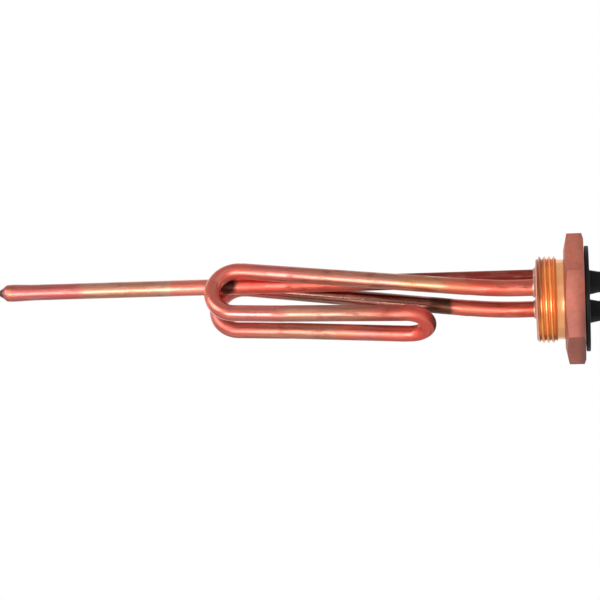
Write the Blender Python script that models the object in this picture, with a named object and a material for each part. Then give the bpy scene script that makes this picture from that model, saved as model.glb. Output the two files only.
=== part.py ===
"""Screw-in electric water heater element: a brass plug with a folded copper heater and a thermostat pocket.

X runs along the element, with the hexagon head towards +X and the tubes towards -X. The origin is the
centre of the seat face, the flat ring of the hexagon that bears on the tank. +Z is the side of the
thermostat pocket. The two heater legs stand in front (-Y) and behind (+Y). All sizes are in metres.
"""

import math

import bmesh
import bpy
from mathutils import Vector

# Clearances, and the turn of surface that reads as a sharp edge
TOUCH_GAP = 0.0003
TOOL_OVERRUN = 0.0010
SHARP_EDGE_DEG = 35.0

# Screw plug: parallel pipe thread, neck and hexagon head
THREAD_DIAMETER = 0.04191
THREAD_PITCH = 0.002309
THREAD_DEPTH = 0.001479
THREAD_FLANK_DEG = 27.5
THREAD_ROOT_WIDTH = 0.00038
THREAD_LENGTH = 0.0098
THREAD_CHAMFER = 0.0014
THREAD_LEAD_TURNS = 1.0
THREAD_RUNOUT_TURNS = 0.5
NECK_UNDERCUT = 0.001655
NECK_LENGTH = 0.0036
HEX_ACROSS_FLATS = 0.0550
HEX_THICKNESS = 0.0097
HEX_TURN_DEG = 6.0
SEAT_DIAMETER = 0.0470
SEAT_CHAMFER_DEG = 12.0
CROWN_DIAMETER = 0.0585
CROWN_CHAMFER_DEG = 18.0

# Recess on the wiring side of the plug, with the screw pillars on its floor
NOSE_WALL = 0.0019
FLOOR_THICKNESS = 0.0045
RIM_SEAT_DIAMETER = 0.0420
RIM_SEAT_DEPTH = 0.0032
PILLAR_DIAMETER = 0.0096
PILLAR_HEIGHT = 0.0109
EARTH_PILLAR_DIAMETER = 0.0076
EARTH_PILLAR_HEIGHT = 0.0059
EARTH_SPOT_FACE_DIAMETER = 0.0084
EARTH_INSET = 0.0059

# Heater: a sheathed tube folded back on itself, with its two ends in the plug
SHEATH_DIAMETER = 0.0080
SHEATH_WALL = 0.0006
COIL_DIAMETER = 0.0028
LEG_SPACING = 0.0200
FOLD_CLEARANCE = 0.0006
LEG_OFFSET = 0.0009
SHEATH_STUB = 0.0059
SPREAD_START = 0.0204
SPREAD_RADIUS = 0.2000
SPREAD_DEG = 7.2
FOLD_DISTANCE = 0.1583
FOLD_RADIUS = 0.0121
RETURN_DEG = 2.45
TIP_DISTANCE = 0.0656
SPREAD_STEPS = 5
FOLD_STEPS = 12
TIP_STEPS = 12

# Thermostat pocket: a long tube with a swollen, coned and closed end
POCKET_DIAMETER = 0.0080
POCKET_BORE = 0.0070
POCKET_CLEARANCE = 0.0006
POCKET_LENGTH = 0.2848
POCKET_STUB = 0.0045
POCKET_SWELL_DIAMETER = 0.0087
POCKET_SWELL_LENGTH = 0.0170
POCKET_SWELL_EASE = 0.0042
POCKET_SHOULDER_DIAMETER = 0.0084
POCKET_CONE_LENGTH = 0.0044
POCKET_CONE_BELLY = 0.0019
POCKET_CONE_BELLY_DIAMETER = 0.0064
POCKET_NIB_DIAMETER = 0.0022
POCKET_NIB_LENGTH = 0.0008
POCKET_NIB_CHAMFER = 0.0003

# Brazing fillets round the three tubes
BRAZE_HEIGHT = 0.0011
BRAZE_WIDTH = 0.0014
BRAZE_LAND = 0.0002
BRAZE_STEPS = 3

# Heater ends: pins, seals, beads and push-on tabs
PIN_DIAMETER = 0.0028
PIN_STANDOUT = 0.0088
SEAL_LENGTH = 0.0040
BEAD_SHANK = 0.0015
BEAD_SHOULDER_DIAMETER = 0.0084
BEAD_SHOULDER = 0.0022
BEAD_CHAMFER = 0.0005
TAB_WIDTH = 0.0063
TAB_THICKNESS = 0.0008
TAB_JOG = 0.0013
TAB_FOOT_LENGTH = 0.0052
TAB_JOG_LENGTH = 0.0012
TAB_TIP_CHAMFER = 0.0012
TAB_HOLE_DIAMETER = 0.0017
TAB_HOLE_SETBACK = 0.0032

# Moulded terminal cover with a shroud round each tab
COVER_DIAMETER = 0.0510
COVER_THICKNESS = 0.0020
COVER_EDGE_RADIUS = 0.0005
RIM_WALL = 0.0015
RIM_DEPTH = 0.0028
BOSS_DIAMETER = 0.0104
SHROUD_HEIGHT = 0.0062
SHROUD_WIDTH = 0.0074
SHROUD_LENGTH = 0.0100
SHROUD_DRAFT = 0.0009
SHROUD_WALL = 0.0007
SHROUD_CORNER_RADIUS = 0.0006
SHROUD_FLOOR = 0.0010
TAB_RECESS = 0.0014
THERMOSTAT_HOLE_DIAMETER = 0.0092
EARTH_OPENING_WIDTH = 0.0092
EARTH_OPENING_HEIGHT = 0.0056

# Screws, washers and earth tab
SCREW_DIAMETER = 0.0040
SCREW_END_CHAMFER = 0.0006
SCREW_HEAD_DIAMETER = 0.0070
SCREW_HEAD_SIDE = 0.0012
SCREW_HEAD_SHOULDER = 0.0022
SCREW_HEAD_SHOULDER_DIAMETER = 0.0056
SCREW_HEAD_HEIGHT = 0.0026
SCREW_HEAD_TOP_DIAMETER = 0.0035
SCREW_CROSS_LENGTH = 0.0040
SCREW_CROSS_WIDTH = 0.0009
SCREW_CROSS_DEPTH = 0.0013
SCREW_CROSS_TAPER = 0.6
WASHER_THICKNESS = 0.0008
WASHER_DIAMETER = 0.0072
COVER_SCREW_LENGTH = 0.0120
EARTH_SCREW_LENGTH = 0.0065
SCREW_HOLE_SPARE = 0.0010
EARTH_TAB_TOE = 0.0036
EARTH_TAB_EDGE = 0.0002

# Number of sides on round pieces
PLUG_SIDES = 48
TUBE_SIDES = 20
BORE_SIDES = 10
CORE_SIDES = 8
SMALL_SIDES = 20

# Sizes and places that follow from the ones above
NECK_DIAMETER = THREAD_DIAMETER - 2 * NECK_UNDERCUT
RECESS_DIAMETER = NECK_DIAMETER - 2 * NOSE_WALL
EARTH_OFFSET = RECESS_DIAMETER / 2 - EARTH_INSET
POCKET_OFFSET = (RECESS_DIAMETER - POCKET_DIAMETER) / 2 - POCKET_CLEARANCE
NOSE_END = -(NECK_LENGTH + THREAD_LENGTH)
FLOOR_TOP = NOSE_END + FLOOR_THICKNESS
SHEATH_END = FLOOR_TOP + SHEATH_STUB
POCKET_END = FLOOR_TOP + POCKET_STUB
PILLAR_TOP = FLOOR_TOP + PILLAR_HEIGHT
EARTH_PILLAR_TOP = FLOOR_TOP + EARTH_PILLAR_HEIGHT
COVER_BACK = HEX_THICKNESS + TOUCH_GAP
COVER_FRONT = COVER_BACK + COVER_THICKNESS
SHROUD_FRONT = COVER_FRONT + SHROUD_HEIGHT
PIN_END = SHEATH_END + PIN_STANDOUT
SEAL_FRONT = SHEATH_END - BEAD_SHANK - TOUCH_GAP
SEAL_BACK = SEAL_FRONT - SEAL_LENGTH
FILL_END = SEAL_BACK - TOUCH_GAP
PIN_BACK = 2 * TOUCH_GAP - SPREAD_START
SHEATH_BORE = SHEATH_DIAMETER - 2 * SHEATH_WALL
FOLD_SPACING = SHEATH_DIAMETER + POCKET_DIAMETER + 2 * FOLD_CLEARANCE
FILL_DIAMETER = SHEATH_BORE - 2 * TOUCH_GAP
FILL_BORE = COIL_DIAMETER + 2 * TOUCH_GAP
SCREW_HOLE_DIAMETER = SCREW_DIAMETER + 2 * TOUCH_GAP
HEAD_SINK_DIAMETER = max(SCREW_HEAD_DIAMETER, WASHER_DIAMETER) + 4 * TOUCH_GAP
TAB_FOOT_OFFSET = PIN_DIAMETER / 2 + TOUCH_GAP + TAB_THICKNESS / 2
SHROUD_OFFSET = LEG_SPACING / 2 + TAB_FOOT_OFFSET + TAB_JOG
SIDES_OF_LEGS = {"front": -1, "rear": 1}


def clear_scene():
    for obj in list(bpy.data.objects):
        bpy.data.objects.remove(obj, do_unlink=True)


def make_material(name, colour, roughness, metallic):
    material = bpy.data.materials.new(name)
    material.use_nodes = True
    shader = material.node_tree.nodes["Principled BSDF"]
    shader.inputs["Base Color"].default_value = (*colour, 1.0)
    shader.inputs["Roughness"].default_value = roughness
    shader.inputs["Metallic"].default_value = metallic
    return material


def make_materials():
    return {
        "brass": make_material("brass", (0.78, 0.42, 0.22), 0.35, 1.0),
        "copper": make_material("copper", (0.72, 0.24, 0.16), 0.30, 1.0),
        "braze": make_material("braze_alloy", (0.74, 0.55, 0.36), 0.45, 1.0),
        "magnesia": make_material("magnesia", (0.86, 0.85, 0.80), 0.90, 0.0),
        "wire": make_material("resistance_wire", (0.42, 0.41, 0.40), 0.40, 1.0),
        "steel": make_material("plated_steel", (0.70, 0.70, 0.70), 0.30, 1.0),
        "silicone": make_material("seal_silicone", (0.62, 0.20, 0.14), 0.70, 0.0),
        "ceramic": make_material("bead_ceramic", (0.88, 0.86, 0.80), 0.45, 0.0),
        "plastic": make_material("black_plastic", (0.02, 0.02, 0.02), 0.45, 0.0),
        "tinned": make_material("tinned_brass", (0.74, 0.72, 0.66), 0.30, 1.0),
    }


def add_object(name, mesh_builder):
    """Turn a filled bmesh into a closed object whose faces point outwards."""
    bmesh.ops.recalc_face_normals(mesh_builder, faces=mesh_builder.faces)
    mesh = bpy.data.meshes.new(name)
    mesh_builder.to_mesh(mesh)
    mesh_builder.free()
    obj = bpy.data.objects.new(name, mesh)
    bpy.context.scene.collection.objects.link(obj)
    return obj


def dress(obj, material):
    """Give a finished piece its material and smooth shading between its sharp edges."""
    obj.data.materials.append(material)
    obj.data.shade_smooth()
    obj.data.set_sharp_from_angle(angle=math.radians(SHARP_EDGE_DEG))
    return obj


def use_tool(target, tool, operation):
    """Cut, join or trim a piece by a tool shape that stays out of the render."""
    modifier = target.modifiers.new(tool.name, "BOOLEAN")
    modifier.operation = operation
    modifier.solver = "EXACT"
    modifier.object = tool
    tool.hide_render = True
    tool.display_type = "WIRE"
    return target


def revolve(name, profile, sides, centre=(0.0, 0.0), ring=False):
    """Turn a profile of (x, radius) points about a line parallel to X; a ring's profile closes on itself."""
    builder = bmesh.new()
    loops = []
    for x, radius in profile:
        if radius <= 0.0:
            loops.append([builder.verts.new((x, centre[0], centre[1]))])
            continue
        angles = [2 * math.pi * (i + 0.5) / sides for i in range(sides)]
        loops.append(
            [
                builder.verts.new((x, centre[0] + radius * math.cos(a), centre[1] + radius * math.sin(a)))
                for a in angles
            ]
        )
    pairs = list(zip(loops, loops[1:]))
    if ring:
        pairs.append((loops[-1], loops[0]))
    for low, high in pairs:
        for i in range(sides):
            j = (i + 1) % sides
            corners = [low[i % len(low)], low[j % len(low)], high[j % len(high)], high[i % len(high)]]
            builder.faces.new(list(dict.fromkeys(corners)))
    return add_object(name, builder)


def cylinder(name, start, end, diameter, sides, centre=(0.0, 0.0)):
    radius = diameter / 2
    return revolve(name, [(start, 0.0), (start, radius), (end, radius), (end, 0.0)], sides, centre)


def tube(name, start, end, outer, bore, sides, centre=(0.0, 0.0)):
    profile = [(start, bore / 2), (start, outer / 2), (end, outer / 2), (end, bore / 2)]
    return revolve(name, profile, sides, centre, ring=True)


def frustum(name, start, end, base, top, centre):
    """A block along X whose cross-section goes from base (y, z size) at start to top at end."""
    builder = bmesh.new()
    loops = []
    for x, (width, length) in ((start, base), (end, top)):
        corners = [(-1, -1), (1, -1), (1, 1), (-1, 1)]
        loops.append(
            [
                builder.verts.new((x, centre[0] + a * width / 2, centre[1] + b * length / 2))
                for a, b in corners
            ]
        )
    builder.faces.new(loops[0])
    builder.faces.new(loops[1])
    for i in range(4):
        j = (i + 1) % 4
        builder.faces.new([loops[0][i], loops[0][j], loops[1][j], loops[1][i]])
    return add_object(name, builder)


def extrude_outline(name, outline, start, end, axes):
    """Extrude a flat outline: axes maps (first, second, height) to a point in space."""
    builder = bmesh.new()
    low = [builder.verts.new(axes(a, b, start)) for a, b in outline]
    high = [builder.verts.new(axes(a, b, end)) for a, b in outline]
    builder.faces.new(low)
    builder.faces.new(high)
    for i in range(len(outline)):
        j = (i + 1) % len(outline)
        builder.faces.new([low[i], low[j], high[j], high[i]])
    return add_object(name, builder)


class Route:
    """A tube's centreline in the XZ plane, drawn as straights and bends; a positive bend turns from X to Z."""

    def __init__(self, x, z, heading_deg):
        self.points = [(x, z)]
        self.heading = math.radians(heading_deg)

    def straight(self, length):
        x, z = self.points[-1]
        self.points.append((x + length * math.cos(self.heading), z + length * math.sin(self.heading)))

    def bend(self, radius, angle_deg, steps):
        step = math.radians(angle_deg) / steps
        chord = 2 * radius * math.sin(abs(step) / 2)
        for _ in range(steps):
            self.heading += step / 2
            self.straight(chord)
            self.heading += step / 2


def half_spacing(x, wide_x):
    """Half the way between the legs, which draw together from wide_x to the fold, beside the pocket."""
    share = min(1.0, max(0.0, (wide_x - x) / (wide_x + FOLD_DISTANCE)))
    return (LEG_SPACING + (FOLD_SPACING - LEG_SPACING) * share) / 2


def heater_route(start_x):
    """Centreline of the whole heater: out along the front leg, folded back, round the tip and home."""
    leg = Route(start_x, LEG_OFFSET, 180.0)
    leg.straight(start_x + SPREAD_START)
    leg.bend(SPREAD_RADIUS, -SPREAD_DEG, SPREAD_STEPS)
    spread_end = leg.points[-1][0]
    leg.straight((-FOLD_DISTANCE - spread_end) / math.cos(leg.heading))
    leg.bend(FOLD_RADIUS, 180.0 + SPREAD_DEG - RETURN_DEG, FOLD_STEPS)
    wide = [spread_end] * len(leg.points)
    tip_radius = LEG_SPACING / 2
    leg.straight((-leg.points[-1][0] - TIP_DISTANCE) / math.cos(leg.heading) - tip_radius)
    end_x, end_z = leg.points[-1]
    wide.append(end_x)
    tip = []
    for i in range(1, TIP_STEPS):
        angle = math.pi * i / TIP_STEPS
        reach = tip_radius * math.sin(angle)
        tip.append(
            Vector(
                (
                    end_x + reach * math.cos(leg.heading),
                    -tip_radius * math.cos(angle),
                    end_z + reach * math.sin(leg.heading),
                )
            )
        )
    halves = [half_spacing(x, wide_x) for (x, _), wide_x in zip(leg.points, wide)]
    front = [Vector((x, -half, z)) for (x, z), half in zip(leg.points, halves)]
    rear = [Vector((x, half, z)) for (x, z), half in zip(leg.points, halves)]
    return front + tip + rear[::-1]


def sweep(name, path, diameter, sides):
    """Carry a round section along a path of points and close both ends."""
    builder = bmesh.new()
    rings = []
    radius = diameter / 2
    across = Vector((0.0, 1.0, 0.0))
    angles = [2 * math.pi * (k + 0.5) / sides for k in range(sides)]
    for i, point in enumerate(path):
        before = path[max(i - 1, 0)]
        after = path[min(i + 1, len(path) - 1)]
        tangent = ((point - before).normalized() + (after - point).normalized()).normalized()
        across = (across - tangent * across.dot(tangent)).normalized()
        beside = tangent.cross(across)
        rings.append(
            [
                builder.verts.new(point + across * radius * math.cos(a) + beside * radius * math.sin(a))
                for a in angles
            ]
        )
    for low, high in zip(rings, rings[1:]):
        for k in range(sides):
            j = (k + 1) % sides
            builder.faces.new([low[k], low[j], high[j], high[k]])
    builder.faces.new(rings[0])
    builder.faces.new(rings[-1])
    return add_object(name, builder)


def thread_groove():
    """The helical V groove of the pipe thread, from beyond the nose to the relief of the neck."""
    root_radius = THREAD_DIAMETER / 2 - THREAD_DEPTH
    outer_radius = THREAD_DIAMETER / 2 + TOUCH_GAP
    root_half = THREAD_ROOT_WIDTH / 2
    outer_half = root_half + (outer_radius - root_radius) * math.tan(math.radians(THREAD_FLANK_DEG))
    section = [
        (-root_half, root_radius),
        (-outer_half, outer_radius),
        (outer_half, outer_radius),
        (root_half, root_radius),
    ]
    start = NOSE_END - THREAD_LEAD_TURNS * THREAD_PITCH
    turns = THREAD_LEAD_TURNS + THREAD_LENGTH / THREAD_PITCH + THREAD_RUNOUT_TURNS
    steps = round(turns * PLUG_SIDES)
    builder = bmesh.new()
    rings = []
    for i in range(steps + 1):
        angle = 2 * math.pi * (i + 0.5) / PLUG_SIDES
        advance = start + THREAD_PITCH * i / PLUG_SIDES
        rings.append(
            [
                builder.verts.new((advance + x, radius * math.cos(angle), radius * math.sin(angle)))
                for x, radius in section
            ]
        )
    for low, high in zip(rings, rings[1:]):
        for k in range(len(section)):
            j = (k + 1) % len(section)
            builder.faces.new([low[k], low[j], high[j], high[k]])
    builder.faces.new(rings[0])
    builder.faces.new(rings[-1])
    return add_object("thread_groove_tool", builder)


def threaded_nose():
    """The part of the plug that enters the tank: threaded barrel with chamfered ends, and a plain neck."""
    crest = THREAD_DIAMETER / 2
    neck = NECK_DIAMETER / 2
    profile = [
        (NOSE_END, 0.0),
        (NOSE_END, crest - THREAD_CHAMFER),
        (NOSE_END + THREAD_CHAMFER, crest),
        (-NECK_LENGTH - (crest - neck) / 2, crest),
        (-NECK_LENGTH, neck),
        (TOOL_OVERRUN, neck),
        (TOOL_OVERRUN, 0.0),
    ]
    nose = revolve("threaded_nose_tool", profile, PLUG_SIDES)
    return use_tool(nose, thread_groove(), "DIFFERENCE")


def hexagon():
    """The spanner hexagon, before its corners are chamfered."""
    corner = HEX_ACROSS_FLATS / 2 / math.cos(math.radians(30))
    turns = [math.radians(60 * k + HEX_TURN_DEG) for k in range(6)]
    outline = [(corner * math.cos(a), corner * math.sin(a)) for a in turns]
    return extrude_outline("screw_plug", outline, 0.0, HEX_THICKNESS, lambda a, b, h: (h, a, b))


def corner_chamfer_tool():
    """The double cone that the hexagon is turned to: long and flat by the seat, short by the cover."""
    rim = HEX_ACROSS_FLATS / 2 / math.cos(math.radians(30)) + TOOL_OVERRUN
    seat_slope = math.tan(math.radians(SEAT_CHAMFER_DEG))
    crown_slope = math.tan(math.radians(CROWN_CHAMFER_DEG))
    seat, crown = SEAT_DIAMETER / 2, CROWN_DIAMETER / 2
    profile = [
        (-TOOL_OVERRUN, 0.0),
        (-TOOL_OVERRUN, seat - TOOL_OVERRUN / seat_slope),
        ((rim - seat) * seat_slope, rim),
        (HEX_THICKNESS - (rim - crown) * crown_slope, rim),
        (HEX_THICKNESS + TOOL_OVERRUN, crown - TOOL_OVERRUN / crown_slope),
        (HEX_THICKNESS + TOOL_OVERRUN, 0.0),
    ]
    return revolve("corner_chamfer_tool", profile, PLUG_SIDES)


def recess_tool():
    """The wiring space inside the plug, with the wider step that takes the rim of the cover."""
    step = HEX_THICKNESS - RIM_SEAT_DEPTH
    mouth = HEX_THICKNESS + TOOL_OVERRUN
    profile = [
        (FLOOR_TOP, 0.0),
        (FLOOR_TOP, RECESS_DIAMETER / 2),
        (step, RECESS_DIAMETER / 2),
        (step, RIM_SEAT_DIAMETER / 2),
        (mouth, RIM_SEAT_DIAMETER / 2),
        (mouth, 0.0),
    ]
    return revolve("recess_tool", profile, PLUG_SIDES)


def tapped_hole_tool(name, top, screw_length, stack, centre):
    """A blind hole for a screw whose head stands on a stack of other pieces."""
    depth = screw_length - stack + SCREW_HOLE_SPARE
    return cylinder(name, top - depth, top + TOOL_OVERRUN, SCREW_HOLE_DIAMETER, SMALL_SIDES, centre)


def make_plug(materials):
    plug = hexagon()
    use_tool(plug, corner_chamfer_tool(), "INTERSECT")
    use_tool(plug, threaded_nose(), "UNION")
    use_tool(plug, recess_tool(), "DIFFERENCE")
    pillar_foot = FLOOR_TOP - TOOL_OVERRUN
    pillar = cylinder("pillar_tool", pillar_foot, PILLAR_TOP, PILLAR_DIAMETER, SMALL_SIDES)
    use_tool(plug, pillar, "UNION")
    earth_centre = (0.0, -EARTH_OFFSET)
    earth_pillar = cylinder(
        "earth_pillar_tool", pillar_foot, EARTH_PILLAR_TOP, EARTH_PILLAR_DIAMETER, SMALL_SIDES, earth_centre
    )
    use_tool(plug, earth_pillar, "UNION")
    spot_face = cylinder(
        "earth_spot_face_tool",
        EARTH_PILLAR_TOP,
        HEX_THICKNESS - RIM_SEAT_DEPTH,
        EARTH_SPOT_FACE_DIAMETER,
        SMALL_SIDES,
        earth_centre,
    )
    use_tool(plug, spot_face, "DIFFERENCE")
    hole_start = NOSE_END - TOOL_OVERRUN
    leg_hole_end = SHEATH_END + BEAD_SHOULDER + TOOL_OVERRUN
    for side, sign in SIDES_OF_LEGS.items():
        hole = cylinder(
            f"leg_hole_tool_{side}",
            hole_start,
            leg_hole_end,
            SHEATH_DIAMETER + 2 * TOUCH_GAP,
            TUBE_SIDES,
            (sign * LEG_SPACING / 2, LEG_OFFSET),
        )
        use_tool(plug, hole, "DIFFERENCE")
    pocket_hole = cylinder(
        "pocket_hole_tool",
        hole_start,
        POCKET_END + TOOL_OVERRUN,
        POCKET_DIAMETER + 2 * TOUCH_GAP,
        SMALL_SIDES,
        (0.0, POCKET_OFFSET),
    )
    use_tool(plug, pocket_hole, "DIFFERENCE")
    cover_stack = cover_screw_seat() - PILLAR_TOP
    use_tool(
        plug,
        tapped_hole_tool("cover_screw_hole_tool", PILLAR_TOP, COVER_SCREW_LENGTH, cover_stack, (0.0, 0.0)),
        "DIFFERENCE",
    )
    earth_stack = earth_screw_seat() - EARTH_PILLAR_TOP
    use_tool(
        plug,
        tapped_hole_tool(
            "earth_screw_hole_tool", EARTH_PILLAR_TOP, EARTH_SCREW_LENGTH, earth_stack, earth_centre
        ),
        "DIFFERENCE",
    )
    return dress(plug, materials["brass"])


def swept_tube(name, start_x, outer, outer_sides, bore, bore_sides):
    """A tube along the heater's route, bored from end to end."""
    solid = sweep(name, heater_route(start_x), outer, outer_sides)
    bore_tool = sweep(f"{name}_bore_tool", heater_route(start_x + TOOL_OVERRUN), bore, bore_sides)
    return use_tool(solid, bore_tool, "DIFFERENCE")


def make_heater(materials):
    sheath = swept_tube("heater_sheath", SHEATH_END, SHEATH_DIAMETER, TUBE_SIDES, SHEATH_BORE, BORE_SIDES)
    dress(sheath, materials["copper"])
    fill = swept_tube("magnesia_fill", FILL_END, FILL_DIAMETER, BORE_SIDES, FILL_BORE, CORE_SIDES)
    dress(fill, materials["magnesia"])
    coil = sweep("resistance_coil", heater_route(PIN_BACK - TOUCH_GAP), COIL_DIAMETER, CORE_SIDES)
    dress(coil, materials["wire"])


def make_pocket(materials):
    """The thermostat tube: its far end swells a little, tapers to a cone and ends in a closed nib."""
    outer = POCKET_DIAMETER / 2
    bore = POCKET_BORE / 2
    nib = POCKET_NIB_DIAMETER / 2
    tip = -POCKET_LENGTH
    nib_start = tip + POCKET_NIB_LENGTH
    cone_start = nib_start + POCKET_CONE_LENGTH
    half_round = [math.radians(a) for a in (0, 30, 60)]
    profile = [
        (tip, 0.0),
        (tip, nib - POCKET_NIB_CHAMFER),
        (tip + POCKET_NIB_CHAMFER, nib),
        (nib_start, nib),
        (cone_start - POCKET_CONE_BELLY, POCKET_CONE_BELLY_DIAMETER / 2),
        (cone_start, POCKET_SHOULDER_DIAMETER / 2),
        (cone_start + POCKET_SWELL_EASE, POCKET_SWELL_DIAMETER / 2),
        (cone_start + POCKET_SWELL_LENGTH, outer),
        (POCKET_END, outer),
        (POCKET_END, bore),
        *[(cone_start + bore - bore * math.sin(a), bore * math.cos(a)) for a in half_round],
        (cone_start, 0.0),
    ]
    pocket = revolve("thermostat_pocket", profile, SMALL_SIDES, (0.0, POCKET_OFFSET))
    dress(pocket, materials["copper"])


def make_braze_ring(name, tube_diameter, centre, materials):
    """A concave fillet of brazing alloy between a tube and the end face of the nose."""
    bore = tube_diameter / 2 + TOUCH_GAP
    face = NOSE_END - TOUCH_GAP
    profile = [(face, bore)]
    for i in range(BRAZE_STEPS + 1):
        turn = math.pi / 2 * i / BRAZE_STEPS
        drop = BRAZE_HEIGHT * (1 - math.cos(turn))
        narrowing = (BRAZE_WIDTH - BRAZE_LAND) * math.sin(turn)
        profile.append((face - drop, bore + BRAZE_WIDTH - narrowing))
    profile.append((face - BRAZE_HEIGHT, bore))
    dress(revolve(name, profile, TUBE_SIDES, centre, ring=True), materials["braze"])


def make_braze_rings(materials):
    for side, sign in SIDES_OF_LEGS.items():
        centre = (sign * LEG_SPACING / 2, LEG_OFFSET)
        make_braze_ring(f"braze_ring_{side}", SHEATH_DIAMETER, centre, materials)
    make_braze_ring("braze_ring_pocket", POCKET_DIAMETER, (0.0, POCKET_OFFSET), materials)


def make_heater_end(side, sign, materials):
    """The pin, seal and bead that close one end of the heater."""
    centre = (sign * LEG_SPACING / 2, LEG_OFFSET)
    pin = cylinder(f"terminal_pin_{side}", PIN_BACK, PIN_END, PIN_DIAMETER, BORE_SIDES, centre)
    dress(pin, materials["steel"])
    seal = tube(f"end_seal_{side}", SEAL_BACK, SEAL_FRONT, FILL_DIAMETER, FILL_BORE, BORE_SIDES, centre)
    dress(seal, materials["silicone"])
    shoulder = SHEATH_END + TOUCH_GAP
    profile = [
        (SHEATH_END - BEAD_SHANK, FILL_BORE / 2),
        (SHEATH_END - BEAD_SHANK, FILL_DIAMETER / 2),
        (shoulder, FILL_DIAMETER / 2),
        (shoulder, BEAD_SHOULDER_DIAMETER / 2),
        (shoulder + BEAD_SHOULDER - BEAD_CHAMFER, BEAD_SHOULDER_DIAMETER / 2),
        (shoulder + BEAD_SHOULDER, BEAD_SHOULDER_DIAMETER / 2 - BEAD_CHAMFER),
        (shoulder + BEAD_SHOULDER, FILL_BORE / 2),
    ]
    dress(revolve(f"end_bead_{side}", profile, BORE_SIDES, centre, ring=True), materials["ceramic"])


def make_terminal_tab(side, sign, materials):
    """A push-on tab: its foot lies along the pin, jogs outwards and stands up inside the shroud."""
    foot = LEG_SPACING / 2 + TAB_FOOT_OFFSET
    half = TAB_THICKNESS / 2
    start = PIN_END - TAB_FOOT_LENGTH
    jog_end = PIN_END + TAB_JOG_LENGTH
    end = SHROUD_FRONT - TAB_RECESS
    outline = [
        (start, foot - half),
        (PIN_END, foot - half),
        (jog_end, foot + TAB_JOG - half),
        (end, foot + TAB_JOG - half),
        (end, foot + TAB_JOG + half),
        (jog_end, foot + TAB_JOG + half),
        (PIN_END, foot + half),
        (start, foot + half),
    ]
    low = LEG_OFFSET - TAB_WIDTH / 2
    high = LEG_OFFSET + TAB_WIDTH / 2
    name = f"terminal_tab_{side}"
    tab = extrude_outline(name, outline, low, high, lambda a, b, h: (a, sign * b, h))
    reach = foot + TAB_JOG + TAB_WIDTH
    corner = TAB_TIP_CHAMFER
    blade = [
        (start - TOOL_OVERRUN, low - TOOL_OVERRUN),
        (end - corner, low - TOOL_OVERRUN),
        (end - corner, low),
        (end + TOOL_OVERRUN, low + corner + TOOL_OVERRUN),
        (end + TOOL_OVERRUN, high - corner - TOOL_OVERRUN),
        (end - corner, high),
        (end - corner, high + TOOL_OVERRUN),
        (start - TOOL_OVERRUN, high + TOOL_OVERRUN),
    ]
    trim = extrude_outline(f"tab_outline_tool_{side}", blade, 0.0, reach, lambda a, b, h: (a, sign * h, b))
    use_tool(tab, trim, "INTERSECT")
    hole_x = end - TAB_HOLE_SETBACK
    radius = TAB_HOLE_DIAMETER / 2
    turns = [2 * math.pi * k / BORE_SIDES for k in range(BORE_SIDES)]
    circle = [(hole_x + radius * math.cos(a), LEG_OFFSET + radius * math.sin(a)) for a in turns]
    hole = extrude_outline(f"tab_hole_tool_{side}", circle, 0.0, reach, lambda a, b, h: (a, sign * h, b))
    use_tool(tab, hole, "DIFFERENCE")
    dress(tab, materials["tinned"])


def make_shroud_tools(side, sign):
    """The outside of one shroud, its hollow and the slot through the cover that its tab stands in."""
    centre = (sign * SHROUD_OFFSET, LEG_OFFSET)
    root = COVER_FRONT - TOOL_OVERRUN / 2
    outside = frustum(
        f"shroud_tool_{side}",
        root,
        SHROUD_FRONT,
        (SHROUD_WIDTH, SHROUD_LENGTH),
        (SHROUD_WIDTH - 2 * SHROUD_DRAFT, SHROUD_LENGTH - 2 * SHROUD_DRAFT),
        centre,
    )
    rounding = outside.modifiers.new("rounding", "BEVEL")
    rounding.width = SHROUD_CORNER_RADIUS
    rounding.segments = 2
    rounding.limit_method = "ANGLE"
    rim_width = SHROUD_WIDTH - 2 * SHROUD_DRAFT - 2 * SHROUD_WALL
    rim_length = SHROUD_LENGTH - 2 * SHROUD_DRAFT - 2 * SHROUD_WALL
    hollow = frustum(
        f"shroud_hollow_tool_{side}",
        COVER_FRONT - SHROUD_FLOOR,
        SHROUD_FRONT + TOOL_OVERRUN,
        (rim_width, rim_length),
        (rim_width, rim_length),
        centre,
    )
    slot_width = TAB_THICKNESS + 2 * TOUCH_GAP
    slot_length = TAB_WIDTH + TOUCH_GAP
    slot = frustum(
        f"tab_slot_tool_{side}",
        COVER_BACK - TOOL_OVERRUN,
        COVER_FRONT,
        (slot_width, slot_length),
        (slot_width, slot_length),
        centre,
    )
    return outside, hollow, slot


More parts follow.
